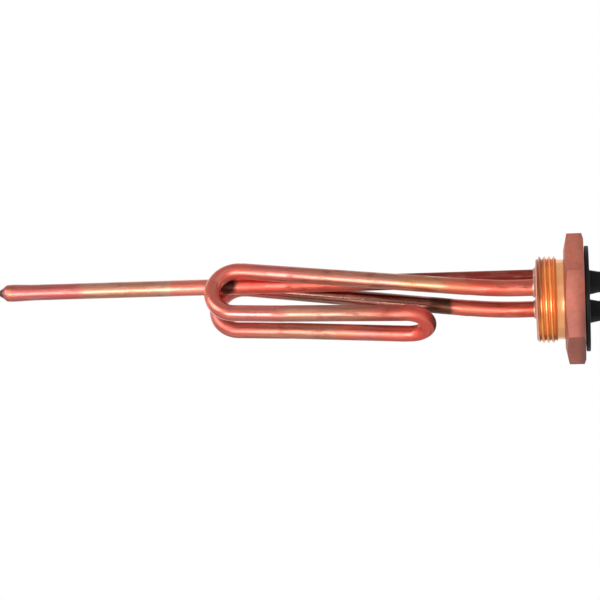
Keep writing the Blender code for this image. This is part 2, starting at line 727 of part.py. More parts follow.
def make_cover(materials):
    """The moulded cover: a disc with a rim and a screw boss behind and two tapered shrouds in front."""
    edge = COVER_DIAMETER / 2
    rim_outer = RIM_SEAT_DIAMETER / 2 - TOUCH_GAP
    boss_end = PILLAR_TOP + TOUCH_GAP
    profile = [
        (boss_end, 0.0),
        (boss_end, BOSS_DIAMETER / 2),
        (COVER_BACK, BOSS_DIAMETER / 2),
        (COVER_BACK, rim_outer - RIM_WALL),
        (COVER_BACK - RIM_DEPTH, rim_outer - RIM_WALL),
        (COVER_BACK - RIM_DEPTH, rim_outer),
        (COVER_BACK, rim_outer),
        (COVER_BACK, edge),
        (COVER_FRONT - COVER_EDGE_RADIUS, edge),
        (COVER_FRONT, edge - COVER_EDGE_RADIUS),
        (COVER_FRONT, 0.0),
    ]
    cover = revolve("terminal_cover", profile, PLUG_SIDES)
    hollows = []
    for side, sign in SIDES_OF_LEGS.items():
        outside, hollow, slot = make_shroud_tools(side, sign)
        use_tool(cover, outside, "UNION")
        hollows += [hollow, slot]
    for tool in hollows:
        use_tool(cover, tool, "DIFFERENCE")
    back = COVER_BACK - TOOL_OVERRUN
    front = COVER_FRONT + TOOL_OVERRUN
    rod_hole = cylinder(
        "thermostat_hole_tool", back, front, THERMOSTAT_HOLE_DIAMETER, SMALL_SIDES, (0.0, POCKET_OFFSET)
    )
    use_tool(cover, rod_hole, "DIFFERENCE")
    opening = (EARTH_OPENING_WIDTH, EARTH_OPENING_HEIGHT)
    behind_rim = COVER_BACK - RIM_DEPTH - TOOL_OVERRUN
    earth_opening = frustum(
        "earth_opening_tool", behind_rim, front, opening, opening, (0.0, earth_blade_offset())
    )
    use_tool(cover, earth_opening, "DIFFERENCE")
    head_floor = cover_screw_seat() - WASHER_THICKNESS - 2 * TOUCH_GAP
    profile = [
        (boss_end - TOOL_OVERRUN, 0.0),
        (boss_end - TOOL_OVERRUN, SCREW_HOLE_DIAMETER / 2),
        (head_floor, SCREW_HOLE_DIAMETER / 2),
        (head_floor, HEAD_SINK_DIAMETER / 2),
        (front, HEAD_SINK_DIAMETER / 2),
        (front, 0.0),
    ]
    use_tool(cover, revolve("screw_sink_tool", profile, SMALL_SIDES), "DIFFERENCE")
    dress(cover, materials["plastic"])


def make_screw(name, seat, length, centre, materials):
    """A pan-head screw with a cross recess; seat is the X of the underside of its head."""
    shank = SCREW_DIAMETER / 2
    head = SCREW_HEAD_DIAMETER / 2
    top = seat + SCREW_HEAD_HEIGHT
    profile = [
        (seat - length, 0.0),
        (seat - length, shank - SCREW_END_CHAMFER),
        (seat - length + SCREW_END_CHAMFER, shank),
        (seat, shank),
        (seat, head),
        (seat + SCREW_HEAD_SIDE, head),
        (seat + SCREW_HEAD_SHOULDER, SCREW_HEAD_SHOULDER_DIAMETER / 2),
        (top, SCREW_HEAD_TOP_DIAMETER / 2),
        (top, 0.0),
    ]
    screw = revolve(name, profile, SMALL_SIDES, centre)
    long_side = SCREW_CROSS_LENGTH
    short_side = SCREW_CROSS_WIDTH
    for label, size in (("across", (long_side, short_side)), ("along", (short_side, long_side))):
        floor = (size[0] * SCREW_CROSS_TAPER, size[1] * SCREW_CROSS_TAPER)
        depth = top - SCREW_CROSS_DEPTH
        slot = frustum(f"{name}_cross_tool_{label}", depth, top + TOUCH_GAP, floor, size, centre)
        use_tool(screw, slot, "DIFFERENCE")
    dress(screw, materials["steel"])


def make_washer(name, seat, centre, materials):
    """A flat washer just under a screw head."""
    front = seat - TOUCH_GAP
    washer = tube(
        name, front - WASHER_THICKNESS, front, WASHER_DIAMETER, SCREW_HOLE_DIAMETER, SMALL_SIDES, centre
    )
    dress(washer, materials["steel"])


def cover_screw_seat():
    """X of the underside of the cover screw's head, whose top lies just below the cover's face."""
    return COVER_FRONT - SCREW_HEAD_HEIGHT - TOUCH_GAP


def earth_screw_seat():
    """X of the underside of the earth screw's head."""
    return EARTH_PILLAR_TOP + TAB_THICKNESS + WASHER_THICKNESS + 3 * TOUCH_GAP


def earth_blade_offset():
    """Z of the middle of the earth blade, clear of the earth screw's head and washer."""
    head = max(SCREW_HEAD_DIAMETER, WASHER_DIAMETER) / 2
    return -EARTH_OFFSET - head - TOUCH_GAP - TAB_THICKNESS / 2


def make_earth_tab(materials):
    """An L of strip: the foot lies on the earth pillar under its screw, the blade stands towards the cover."""
    foot_back = EARTH_PILLAR_TOP + TOUCH_GAP
    foot_front = foot_back + TAB_THICKNESS
    outer = earth_blade_offset() - TAB_THICKNESS / 2
    inner = outer + TAB_THICKNESS
    toe = -EARTH_OFFSET + EARTH_TAB_TOE
    end = COVER_FRONT - TAB_RECESS
    outline = [
        (foot_back, toe),
        (foot_front, toe),
        (foot_front, inner),
        (end - TAB_THICKNESS, inner),
        (end, inner - EARTH_TAB_EDGE),
        (end, outer + EARTH_TAB_EDGE),
        (end - TAB_THICKNESS, outer),
        (foot_back, outer),
    ]
    half = TAB_WIDTH / 2
    tab = extrude_outline("earth_tab", outline, -half, half, lambda a, b, h: (a, h, b))
    hole = cylinder(
        "earth_tab_hole_tool",
        foot_back - TOOL_OVERRUN,
        foot_front + TOOL_OVERRUN,
        SCREW_HOLE_DIAMETER,
        SMALL_SIDES,
        (0.0, -EARTH_OFFSET),
    )
    use_tool(tab, hole, "DIFFERENCE")
    dress(tab, materials["tinned"])


def make_fasteners(materials):
    middle = (0.0, 0.0)
    make_screw("cover_screw", cover_screw_seat(), COVER_SCREW_LENGTH, middle, materials)
    make_washer("cover_washer", cover_screw_seat(), middle, materials)
    earth = (0.0, -EARTH_OFFSET)
    make_screw("earth_screw", earth_screw_seat(), EARTH_SCREW_LENGTH, earth, materials)
    make_washer("earth_washer", earth_screw_seat(), earth, materials)


def main():
    clear_scene()
    materials = make_materials()
    make_plug(materials)
    make_heater(materials)
    make_pocket(materials)
    make_braze_rings(materials)
    for side, sign in SIDES_OF_LEGS.items():
        make_heater_end(side, sign, materials)
        make_terminal_tab(side, sign, materials)
    make_earth_tab(materials)
    make_cover(materials)
    make_fasteners(materials)


main()
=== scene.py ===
"""Looks of the screw-in water heater element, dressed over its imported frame.

X runs along the element, with the hexagon head towards +X, and Z points to the side of the thermostat
pocket. The two heater legs stand in front (-Y) and behind (+Y). Sizes are in metres.
"""

import logging
import math
from collections.abc import Sequence
from contextlib import contextmanager
from dataclasses import dataclass, field
from enum import Enum

import bmesh
import bpy
import numpy as np
from mathutils import Matrix, Vector


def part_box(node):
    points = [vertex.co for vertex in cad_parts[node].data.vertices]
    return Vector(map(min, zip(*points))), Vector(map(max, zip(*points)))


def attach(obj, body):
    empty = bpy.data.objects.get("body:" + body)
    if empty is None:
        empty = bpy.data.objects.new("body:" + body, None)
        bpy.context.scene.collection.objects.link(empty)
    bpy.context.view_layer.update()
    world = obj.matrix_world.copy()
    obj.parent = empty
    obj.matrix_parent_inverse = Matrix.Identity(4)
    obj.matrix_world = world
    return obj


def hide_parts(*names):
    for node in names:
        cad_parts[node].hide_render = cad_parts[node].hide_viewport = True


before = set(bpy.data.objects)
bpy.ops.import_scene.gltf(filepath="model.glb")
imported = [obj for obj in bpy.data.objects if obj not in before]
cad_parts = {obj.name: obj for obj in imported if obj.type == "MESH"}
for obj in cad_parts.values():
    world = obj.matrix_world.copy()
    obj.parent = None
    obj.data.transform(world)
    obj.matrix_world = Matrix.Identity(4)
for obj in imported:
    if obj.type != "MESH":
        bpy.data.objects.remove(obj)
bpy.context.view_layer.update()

MM = 0.001
BODY = "root"
LOG = logging.getLogger("water_heater_element")

Piece = bpy.types.Object
Material = bpy.types.Material
Pair = tuple[float, float]

Colour = tuple[float, float, float]
Point = tuple[float, float, float]
Profile = Sequence[Pair]


class Slot(Enum):
    """Material slot names of the record; HeaterEnds pairs each of its pieces with one, but no piece takes
    its finish from them.
    """

    PLUG = "plug_brass"
    SHEATH = "sheath_copper"
    POCKET = "pocket_copper"
    BRAZE = "braze_alloy"
    MAGNESIA = "magnesia"
    WIRE = "resistance_wire"
    STEEL = "plated_steel"
    SEAL = "end_seal"
    BEAD = "end_bead"
    TINNED = "tinned_brass"
    COVER = "cover_plastic"


class Side(Enum):
    """The two heater legs, by the sign of their Y."""

    FRONT = -1
    REAR = 1


@dataclass(frozen=True)
class Value:
    """A shader socket that takes part in Python sums; each sum adds its Math node."""

    shop: "PaintShop"
    socket: bpy.types.NodeSocket

    def _maths(self, operation: str, first: object, second: object = 0.0) -> "Value":
        """Add one Math node for two values."""
        return self.shop.node("ShaderNodeMath", {"operation": operation}, {0: first, 1: second})

    def __add__(self, other: object) -> "Value":
        """self + other."""
        return self._maths("ADD", self, other)

    def __radd__(self, other: object) -> "Value":
        """other + self."""
        return self._maths("ADD", other, self)

    def __sub__(self, other: object) -> "Value":
        """self - other."""
        return self._maths("SUBTRACT", self, other)

    def __rsub__(self, other: object) -> "Value":
        """other - self."""
        return self._maths("SUBTRACT", other, self)

    def __mul__(self, other: object) -> "Value":
        """self * other."""
        return self._maths("MULTIPLY", self, other)

    def __rmul__(self, other: object) -> "Value":
        """other * self."""
        return self._maths("MULTIPLY", other, self)

    def __truediv__(self, other: object) -> "Value":
        """self / other."""
        return self._maths("DIVIDE", self, other)

    def __pow__(self, other: object) -> "Value":
        """self to the power of other."""
        return self._maths("POWER", self, other)

    def __neg__(self) -> "Value":
        """-self."""
        return self._maths("MULTIPLY", self, -1.0)

    def __abs__(self) -> "Value":
        """The size of self without its sign."""
        return self._maths("ABSOLUTE", self)

    def step(self, low: float, high: float) -> "Value":
        """Rise smoothly from 0 at low to 1 at high.

        Args:
            low: where the rise starts; it may lie above high, and then the value falls.
            high: where the rise ends.

        Returns:
            The eased value.
        """
        return self.shop.node(
            "ShaderNodeMapRange",
            {"interpolation_type": "SMOOTHSTEP"},
            {"Value": self, "From Min": low, "From Max": high},
        )

    def root(self) -> "Value":
        """The square root of self."""
        return self._maths("SQRT", self)


class PaintShop:
    """Builds one node material: a Principled surface and whatever feeds it."""

    def __init__(self, name: str) -> None:
        """Start a material with an empty Principled surface."""
        self.material = bpy.data.materials.new(name)
        self.material.use_nodes = True
        self.tree = self.material.node_tree
        self.surface = self.tree.nodes["Principled BSDF"]

    def node(
        self,
        kind: str,
        settings: dict[str, object] | None = None,
        sockets: dict[str | int, object] | None = None,
        output: str | int = 0,
    ) -> Value:
        """Add a node.

        Args:
            kind: the node's Blender type.
            settings: its properties, set first; "stops" are a ramp's (place, colour) pairs.
            sockets: its inputs, as plain values or as links.
            output: which output comes back.

        Returns:
            The chosen output.
        """
        made = self.tree.nodes.new(kind)
        for key, setting in (settings or {}).items():
            if key == "stops":
                self._set_stops(made.color_ramp, setting)
            else:
                setattr(made, key, setting)
        for key, value in (sockets or {}).items():
            if isinstance(value, Value):
                self.tree.links.new(value.socket, made.inputs[key])
            else:
                made.inputs[key].default_value = value
        return Value(self, made.outputs[output])

    @staticmethod
    def _set_stops(ramp: bpy.types.ColorRamp, stops: Sequence[tuple[float, Colour]]) -> None:
        """Give a colour ramp its stops."""
        ramp.interpolation = "EASE"
        while len(ramp.elements) < len(stops):
            ramp.elements.new(1.0)
        for element, (place, colour) in zip(ramp.elements, stops):
            element.position = place
            element.color = (*colour, 1.0)

    def place(self) -> Value:
        """Object coordinates, in metres."""
        return self.node("ShaderNodeTexCoord", output="Object")

    def attribute(self, name: str) -> Value:
        """A vector that the mesh carries at its points."""
        settings = {"attribute_type": "GEOMETRY", "attribute_name": name}
        return self.node("ShaderNodeAttribute", settings, output="Vector")

    def axes(self, vector: Value) -> tuple[Value, Value, Value]:
        """Split a vector into its three numbers."""
        split = self.node("ShaderNodeSeparateXYZ", sockets={0: vector})
        outputs = split.socket.node.outputs
        return Value(self, outputs[0]), Value(self, outputs[1]), Value(self, outputs[2])

    def stretch(self, vector: Value, factors: Point) -> Value:
        """Multiply a vector's three numbers each by its own factor."""
        return self.node("ShaderNodeVectorMath", {"operation": "MULTIPLY"}, {0: vector, 1: factors})

    def noise(self, vector: Value, scale: float, detail: float = 3.0, rough: float = 0.5) -> Value:
        """Cloudy noise between 0 and 1 on a vector."""
        sockets = {"Vector": vector, "Scale": scale, "Detail": detail, "Roughness": rough}
        return self.node("ShaderNodeTexNoise", sockets=sockets)

    def cells(self, vector: Value, scale: float) -> Value:
        """Distance to the nearest of scattered points."""
        return self.node("ShaderNodeTexVoronoi", sockets={"Vector": vector, "Scale": scale})

    def blend(self, factor: object, first: object, second: object) -> Value:
        """Mix two colours; factor 0 gives the first."""
        sockets = {0: factor, 6: self._paint(first), 7: self._paint(second)}
        return self.node("ShaderNodeMix", {"data_type": "RGBA"}, sockets, output=2)

    def shade(self, colour: Value, amount: Value) -> Value:
        """Multiply a colour by a number."""
        grey = self.node("ShaderNodeCombineColor", sockets={0: amount, 1: amount, 2: amount})
        sockets = {0: 1.0, 6: colour, 7: grey}
        settings = {"data_type": "RGBA", "blend_type": "MULTIPLY"}
        return self.node("ShaderNodeMix", settings, sockets, output=2)

    @staticmethod
    def _paint(colour: object) -> object:
        """A colour as a link, or as four numbers."""
        return colour if isinstance(colour, Value) else (*colour, 1.0)

    def bump(
        self, height: Value, depth: float, strength: float = 1.0, under: Value | None = None
    ) -> Value:
        """Raise the surface by a height between 0 and 1, times depth in metres."""
        sockets: dict[str | int, object] = {"Height": height, "Distance": depth, "Strength": strength}
        if under is not None:
            sockets["Normal"] = under
        return self.node("ShaderNodeBump", sockets=sockets)

    def finish(self, **sockets: object) -> Material:
        """Feed the Principled surface.

        Args:
            sockets: its inputs by name, with _ for a space; colours as three numbers, or links.

        Returns:
            The finished material.
        """
        for name, value in sockets.items():
            socket = self.surface.inputs[name.replace("_", " ")]
            if isinstance(value, Value):
                self.tree.links.new(value.socket, socket)
            elif isinstance(value, tuple):
                socket.default_value = (*value, 1.0)
            else:
                socket.default_value = value
        return self.material


@dataclass(frozen=True)
class CopperTube:
    """Drawn copper tube, tinted along its run by heat and in stretches by painted shade, with drawing
    streaks, stains, and painted shade on the outer edges of bends and round given points.
    """

    name: str
    tints: tuple[tuple[float, Colour], ...]
    wander: float = 6.0 * MM
    pale: Colour = (0.74, 0.36, 0.27)
    stain: Colour = (0.20, 0.055, 0.035)
    stain_share: float = 0.6
    # the near-black colour painted as shade on bend edges and round the given points
    dark_tint: Colour = (0.022, 0.007, 0.005)
    # runs of the tube whose outer bend edge, across by outer_edge, is darkened as painted shade
    shaded_bends: tuple[tuple[float, float, float], ...] = ()
    outer_edge: Pair = (-2.3 * MM, -3.5 * MM)
    matte: tuple[tuple[float, float, float], ...] = ()
    # points round which a dark patch of painted shade is laid, and how far it reaches
    shade_points: tuple[Point, ...] = ()
    shade_reach: float = 8.0 * MM
    roughness: float = 0.24
    coat: float = 0.85
    coat_roughness: float = 0.19

    def material(self) -> Material:
        """Build the finish on the attribute "run": way along the tube, and the two places across it."""
        shop = PaintShop(self.name)
        run = shop.attribute("run")
        along, across, _ = shop.axes(run)
        length = self.tints[-1][0]
        stops = [(place / length, colour) for place, colour in self.tints]
        drift = shop.noise(shop.stretch(run, (80.0, 240.0, 240.0)), 1.0, 2.0) - 0.5
        share = (along + drift * self.wander) / length
        tint = shop.node("ShaderNodeValToRGB", {"stops": stops}, {0: share})
        streaks = shop.noise(shop.stretch(run, (48.0, 560.0, 560.0)), 1.0, 4.0, 0.62)
        clouds = shop.noise(shop.stretch(run, (95.0, 250.0, 250.0)), 1.0, 4.0, 0.62)
        lines = shop.noise(shop.stretch(run, (70.0, 5200.0, 5200.0)), 1.0, 2.0)
        specks = shop.cells(shop.stretch(run, (420.0, 420.0, 420.0)), 1.0).step(0.16, 0.05)
        colour = shop.blend(streaks.step(0.50, 0.70) * 0.55, tint, self.pale)
        stains = clouds.step(0.52, 0.72) * self.stain_share
        colour = shop.blend(stains, colour, self.stain)
        dark_streaks = streaks.step(0.44, 0.28) * 0.5
        colour = shop.blend(dark_streaks, colour, self.stain)
        colour = shop.blend(specks * clouds.step(0.5, 0.6) * 0.5, colour, self.stain)
        # painted shade: bend edges and patches round the given points darkened
        painted_shade = self._painted_shade(shop, along, across, clouds)
        colour = shop.blend(painted_shade, colour, self.dark_tint)
        colour = shop.shade(colour, 0.88 + lines * 0.24)
        matte = self._windows(along, self.matte, 6.0 * MM)
        rough = self.roughness + streaks.step(0.35, 0.75) * 0.10 + stains * 0.22 + matte * 0.22
        rough = rough + painted_shade * 0.2
        dents = shop.noise(shop.stretch(run, (110.0, 200.0, 200.0)), 1.0, 1.0)
        low = shop.bump(dents, 0.14 * MM, 0.6)
        normal = shop.bump(lines, 0.012 * MM, 0.5, low)
        return shop.finish(
            Base_Color=colour,
            Metallic=1.0,
            Roughness=rough,
            Normal=normal,
            Coat_Weight=(1.0 - stains * 0.6) * (1.0 - matte * 0.85) * (1.0 - painted_shade) * self.coat,
            Coat_Roughness=self.coat_roughness,
        )

    def _painted_shade(self, shop: PaintShop, along: Value, across: Value, clouds: Value) -> Value:
        """Painted shade: darkened outer edges of bends, and dark patches round the given points."""
        edge = across.step(*self.outer_edge) * (0.5 + clouds)
        painted_shade = self._windows(along, self.shaded_bends, 9.0 * MM) * edge
        for point in self.shade_points:
            sockets = {0: shop.place(), 1: point}
            away = shop.node("ShaderNodeVectorMath", {"operation": "DISTANCE"}, sockets, "Value")
            reach = self.shade_reach
            painted_shade = painted_shade + (away + clouds * 3.0 * MM).step(reach, reach * 0.6) * 0.95
        return shop.node("ShaderNodeClamp", sockets={"Value": painted_shade})

    @staticmethod
    def _windows(along: Value, spans: Sequence[tuple[float, float, float]], ease: float) -> Value:
        """Each span's own share inside it, falling to 0 over ease at its ends."""
        total = along * 0.0
        for start, end, share in spans:
            inside = along.step(start, start + ease) * along.step(end, end - ease)
            total = total + inside * share
        return total


@dataclass(frozen=True)
class PlugBrass:
    """Brass of the screw plug: golden turned thread and neck, and a pinker stamped hexagon."""

    thread: Colour = (0.94, 0.37, 0.098)
    # darker colour taken towards the upper front of the thread
    thread_darker: Colour = (0.62, 0.165, 0.085)
    # colour of the painted shade in the first groove and in the groove bottoms on the lower side
    groove_shade: Colour = (0.20, 0.060, 0.032)
    neck: Colour = (0.90, 0.44, 0.19)
    hexagon: Colour = (0.35, 0.082, 0.048)
    hexagon_light: Colour = (0.47, 0.145, 0.090)
    # colour of the painted shade on the hexagon
    hexagon_shade: Colour = (0.16, 0.042, 0.028)
    lead_in: Colour = (0.72, 0.34, 0.25)
    # colour of the grime in the hexagon's nicks and of the painted shade in the thread's grooves
    grime_and_groove_shade: Colour = (0.42, 0.15, 0.065)
    nose_end: float = -13.4 * MM
    neck_start: float = -3.6 * MM
    root_radius: float = 19.476 * MM
    crest_radius: float = 20.955 * MM
    head_length: float = 9.7 * MM

    def material(self) -> Material:
        """Build the finish on Object coordinates."""
        shop = PaintShop("plug_brass")
        place = shop.place()
        x, y, z = shop.axes(place)
        radius = (y * y + z * z).root()
        mottle = shop.noise(place, 420.0, 5.0, 0.62)
        clouds = shop.noise(place, 95.0, 3.0, 0.55)
        turned = shop.noise(shop.stretch(place, (5200.0, 120.0, 120.0)), 1.0, 2.0)
        # darker towards the upper front of the thread, by the nose
        upper_front = (z * 22.0 - y * 12.0 - (x - self.nose_end) * 55.0 + clouds * 1.5).step(0.35, 1.35)
        thread = shop.blend(upper_front * 0.9, self.thread, self.thread_darker)
        groove = radius.step(self.crest_radius - 0.35 * MM, self.root_radius + 0.10 * MM)
        in_thread = x.step(self.neck_start + 0.4 * MM, self.neck_start - 0.4 * MM)
        # painted shade: the thread's grooves darkened
        thread = shop.blend(groove * (0.15 + clouds * 0.4), thread, self.grime_and_groove_shade)
        crest_wear = radius.step(self.crest_radius - 0.12 * MM, self.crest_radius)
        thread = shop.blend(crest_wear * 0.25, thread, self.neck)
        edge = x.step(self.nose_end + 1.5 * MM, self.nose_end + 0.9 * MM)
        thread = shop.blend(edge * 0.75, thread, self.lead_in)
        # painted shade: the first groove by the nose darkened, most on its upper side
        first = x.step(self.nose_end + 0.7 * MM, self.nose_end + 1.2 * MM)
        first = first * x.step(self.nose_end + 3.4 * MM, self.nose_end + 2.4 * MM)
        shaded = (z - y * 0.5 + clouds * 14.0 * MM).step(-16.0 * MM, 8.0 * MM)
        thread = shop.blend(first * shaded * 0.75, thread, self.groove_shade)
        # painted shade in the groove bottoms along the lower side
        under = (y * 0.52 - z * 0.855 - clouds * 1.0 * MM).step(15.2 * MM, 18.0 * MM)
        thread = shop.blend(under * groove * 0.85, thread, self.groove_shade)
        neck = shop.blend(clouds.step(0.45, 0.7) * 0.35, self.neck, self.thread)
        barrel = shop.blend(in_thread, neck, thread)
        patches = mottle.step(0.35, 0.72)
        head = shop.blend(patches * 0.45, self.hexagon, self.hexagon_light)
        # painted shade: the hexagon darker towards its far edge and its lower side
        far_edge_shade = (x + clouds * 1.6 * MM).step(self.head_length * 0.62, self.head_length * 1.05)
        lower_shade = z.step(-8.0 * MM, -24.0 * MM)
        head = shop.blend(far_edge_shade * (0.28 + lower_shade * 0.5) + lower_shade * 0.12, head, self.hexagon_shade)
        nicks = shop.cells(shop.stretch(place, (300.0, 260.0, 260.0)), 1.0).step(0.13, 0.04)
        head = shop.blend(nicks * clouds.step(0.5, 0.62) * 0.6, head, self.grime_and_groove_shade)
        head = shop.shade(head, 0.70 + clouds * 0.60)
        in_head = x.step(-0.25 * MM, 0.05 * MM)
        colour = shop.blend(in_head, barrel, head)
        rough = in_head * (0.24 + mottle * 0.16) + 0.22 + groove * in_thread * 0.2
        metal = 0.62 - in_head * 0.22
        grain = shop.bump(mottle, 0.10 * MM, 0.55)
        fine = shop.bump(turned, 0.015 * MM, 0.35, grain)
        pitted = shop.bump(nicks, -0.10 * MM, 0.5, fine)
        return shop.finish(
            Base_Color=colour,
            Metallic=metal,
            Roughness=rough,
            Normal=pitted,
            Coat_Weight=0.12,
            Coat_Roughness=0.2,
        )


@dataclass(frozen=True)
class Phenolic:
    """Black moulded phenolic: dense, slightly mottled, with a low sheen."""

    body: Colour = (0.0045, 0.0045, 0.005)
    filler: Colour = (0.016, 0.013, 0.012)

    def material(self) -> Material:
        """Build the finish on Object coordinates."""
        shop = PaintShop("cover_phenolic")
        place = shop.place()
        grain = shop.noise(place, 1500.0, 4.0, 0.6)
        flow = shop.noise(shop.stretch(place, (240.0, 90.0, 420.0)), 1.0, 3.0)
        colour = shop.blend(grain.step(0.52, 0.75) * 0.6, self.body, self.filler)
        rough = 0.38 + flow * 0.2 + grain * 0.08
        normal = shop.bump(grain, 0.03 * MM, 0.5)
        return shop.finish(Base_Color=colour, Roughness=rough, Normal=normal, Specular_IOR_Level=0.22)


@dataclass(frozen=True)
class PlatedMetal:
    """A plated small part: bright, with faint clouding and handling marks."""

    name: str
    colour: Colour
    dull: Colour
    roughness: float = 0.26

    def material(self) -> Material:
        """Build the finish on Object coordinates."""
        shop = PaintShop(self.name)
        place = shop.place()
        clouds = shop.noise(place, 260.0, 4.0, 0.6)
        grain = shop.noise(place, 2600.0, 2.0)
        colour = shop.blend(clouds.step(0.4, 0.7), self.colour, self.dull)
        rough = self.roughness + clouds * 0.16
        normal = shop.bump(grain, 0.012 * MM, 0.5)
        return shop.finish(Base_Color=colour, Metallic=1.0, Roughness=rough, Normal=normal)


@dataclass(frozen=True)
class Mineral:
    """A powdery, cast or fired part: mottled, with a fine grain."""

    name: str
    colour: Colour
    shadow: Colour
    roughness: float
    grain_depth: float
    coat: float = 0.0

    def material(self) -> Material:
        """Build the finish on Object coordinates."""
        shop = PaintShop(self.name)
        place = shop.place()
        clouds = shop.noise(place, 520.0, 4.0, 0.6)
        grain = shop.noise(place, 3200.0, 3.0, 0.6)
        colour = shop.blend(clouds.step(0.35, 0.75), self.colour, self.shadow)
        normal = shop.bump(grain, self.grain_depth, 0.6)
        rough = self.roughness + clouds * 0.1
        return shop.finish(Base_Color=colour, Roughness=rough, Normal=normal, Coat_Weight=self.coat)


@dataclass(frozen=True)
class BrazeAlloy:
    """Brazing alloy that has run into the joint: yellowish, uneven, with flux-dark patches."""

    colour: Colour = (0.66, 0.38, 0.29)
    flux: Colour = (0.30, 0.12, 0.08)

    def material(self) -> Material:
        """Build the finish on Object coordinates."""
        shop = PaintShop("braze_alloy")
        place = shop.place()
        clouds = shop.noise(place, 640.0, 4.0, 0.6)
        runs = shop.noise(place, 1500.0, 3.0, 0.55)
        colour = shop.blend(clouds.step(0.48, 0.7), self.colour, self.flux)
        normal = shop.bump(runs, 0.15 * MM, 0.7)
        return shop.finish(Base_Color=colour, Metallic=1.0, Roughness=0.3 + clouds * 0.25, Normal=normal)


def clear_selection() -> None:
    """Leave edit mode and select nothing, so that the next operator touches only its own piece."""
    if bpy.context.object and bpy.context.object.mode != "OBJECT":
        bpy.ops.object.mode_set(mode="OBJECT")
    bpy.ops.object.select_all(action="DESELECT")


def pick(piece: Piece) -> None:
    """Make one piece the only selected and active one."""
    clear_selection()
    piece.select_set(True)
    bpy.context.view_layer.objects.active = piece


@contextmanager
def editing(piece: Piece):
    """Edit one piece, with nothing of it selected at first.

    Args:
        piece: the object to edit.

    Returns:
        Its edit mesh, for picking vertices, edges and faces in code.
    """
    pick(piece)
    bpy.ops.object.mode_set(mode="EDIT")
    bpy.ops.mesh.select_all(action="DESELECT")
    yield bmesh.from_edit_mesh(piece.data)
    bpy.ops.object.mode_set(mode="OBJECT")


def settle(piece: Piece, name: str) -> Piece:
    """Name a new piece and put its place into its mesh."""
    piece.name = name
    piece.data.name = name
    pick(piece)
    bpy.ops.object.transform_apply(location=True, rotation=True, scale=True)
    return piece


def new_ring(
    name: str, x: float, centre: Pair, radius: float, sides: int
) -> Piece:
    """Add a circle of points that faces along X.

    Args:
        name: the piece's name.
        x: its place along the element.
        centre: its middle, as Y and Z.
        radius: its radius.
        sides: its number of points.

    Returns:
        The new object, placed in its mesh.
    """
    clear_selection()
    bpy.ops.mesh.primitive_circle_add(
        vertices=sides, radius=radius, location=(x, *centre), rotation=(0.0, math.pi / 2, 0.0)
    )
    return settle(bpy.context.object, name)


def face_outwards(piece: Piece) -> None:
    """Merge doubled points and turn every face outwards."""
    with editing(piece):
        bpy.ops.mesh.select_all(action="SELECT")
        bpy.ops.mesh.remove_doubles(threshold=0.002 * MM)
        bpy.ops.mesh.normals_make_consistent(inside=False)


def turn_profile(
    name: str, profile: Profile, sides: int, centre: Pair = (0.0, 0.0), ring: bool = False
) -> Piece:
    """Turn a piece on the lathe, ring by ring.

    Args:
        name: the piece's name.
        profile: (x, radius) points in order; a radius of 0 closes the piece there.
        sides: number of facets round the piece.
        centre: the axis, as Y and Z.
        ring: join the last ring to the first, for a washer or a sleeve.

    Returns:
        The turned piece, closed and facing outwards.
    """
    closed_start = profile[0][1] <= 0.0
    rings = [point for point in profile if point[1] > 0.0]
    piece = new_ring(name, rings[0][0], centre, rings[0][1], sides)
    middle = Vector((0.0, centre[0], centre[1]))
    with editing(piece):
        bpy.ops.mesh.select_mode(type="VERT")
        bpy.ops.mesh.select_all(action="SELECT")
        if closed_start:
            bpy.ops.mesh.edge_face_add()
            bpy.ops.mesh.select_all(action="SELECT")
        for (x, radius), (next_x, next_radius) in zip(rings, rings[1:]):
            bpy.ops.mesh.extrude_region_move(TRANSFORM_OT_translate={"value": (next_x - x, 0.0, 0.0)})
            middle.x = next_x
            ratio = next_radius / radius
            bpy.ops.transform.resize(value=(1.0, ratio, ratio), center_override=middle)
        if ring:
            bpy.ops.mesh.select_all(action="DESELECT")
            bpy.ops.mesh.select_non_manifold()
            bpy.ops.mesh.bridge_edge_loops()
        elif not closed_start:
            bpy.ops.mesh.edge_face_add()
    face_outwards(piece)
    return piece


def cut(piece: Piece, tool: Piece, operation: str = "DIFFERENCE") -> Piece:
    """Cut, join or trim a piece by a tool shape, and throw the tool away.

    Args:
        piece: the piece that stays.
        tool: the closed shape that acts on it.
        operation: DIFFERENCE, UNION or INTERSECT.

    Returns:
        The piece, with the result in its mesh.
    """
    pick(piece)
    modifier = piece.modifiers.new(tool.name, "BOOLEAN")
    modifier.operation = operation
    modifier.solver = "EXACT"
    modifier.object = tool
    bpy.ops.object.modifier_apply(modifier=modifier.name)
    bpy.data.objects.remove(tool, do_unlink=True)
    return piece


def copied(
    piece: Piece, name: str, shift: Point = (0.0, 0.0, 0.0), mirrored: bool = False
) -> Piece:
    """Copy a shape, with its own mesh, to another place.

    Args:
        piece: the shape to copy.
        name: the copy's name.
        shift: how far the copy moves.
        mirrored: put it across the element's middle plane first.

    Returns:
        The copy, facing outwards.
    """
    pick(piece)
    bpy.ops.object.duplicate(linked=False)
    twin = settle(bpy.context.object, name)
    with editing(twin):
        bpy.ops.mesh.select_all(action="SELECT")
        if mirrored:
            bpy.ops.transform.resize(value=(1.0, -1.0, 1.0), center_override=(0.0, 0.0, 0.0))
        bpy.ops.transform.translate(value=shift)
    face_outwards(twin)
    return twin


def soften(piece: Piece, width: float, segments: int = 2, angle: float = 30.0) -> None:
    """Round a piece's sharp edges with an applied Bevel."""
    pick(piece)
    modifier = piece.modifiers.new("edge_round", "BEVEL")
    modifier.width = width
    modifier.segments = segments
    modifier.limit_method = "ANGLE"
    modifier.angle_limit = math.radians(angle)
    modifier.harden_normals = False
    bpy.ops.object.modifier_apply(modifier=modifier.name)


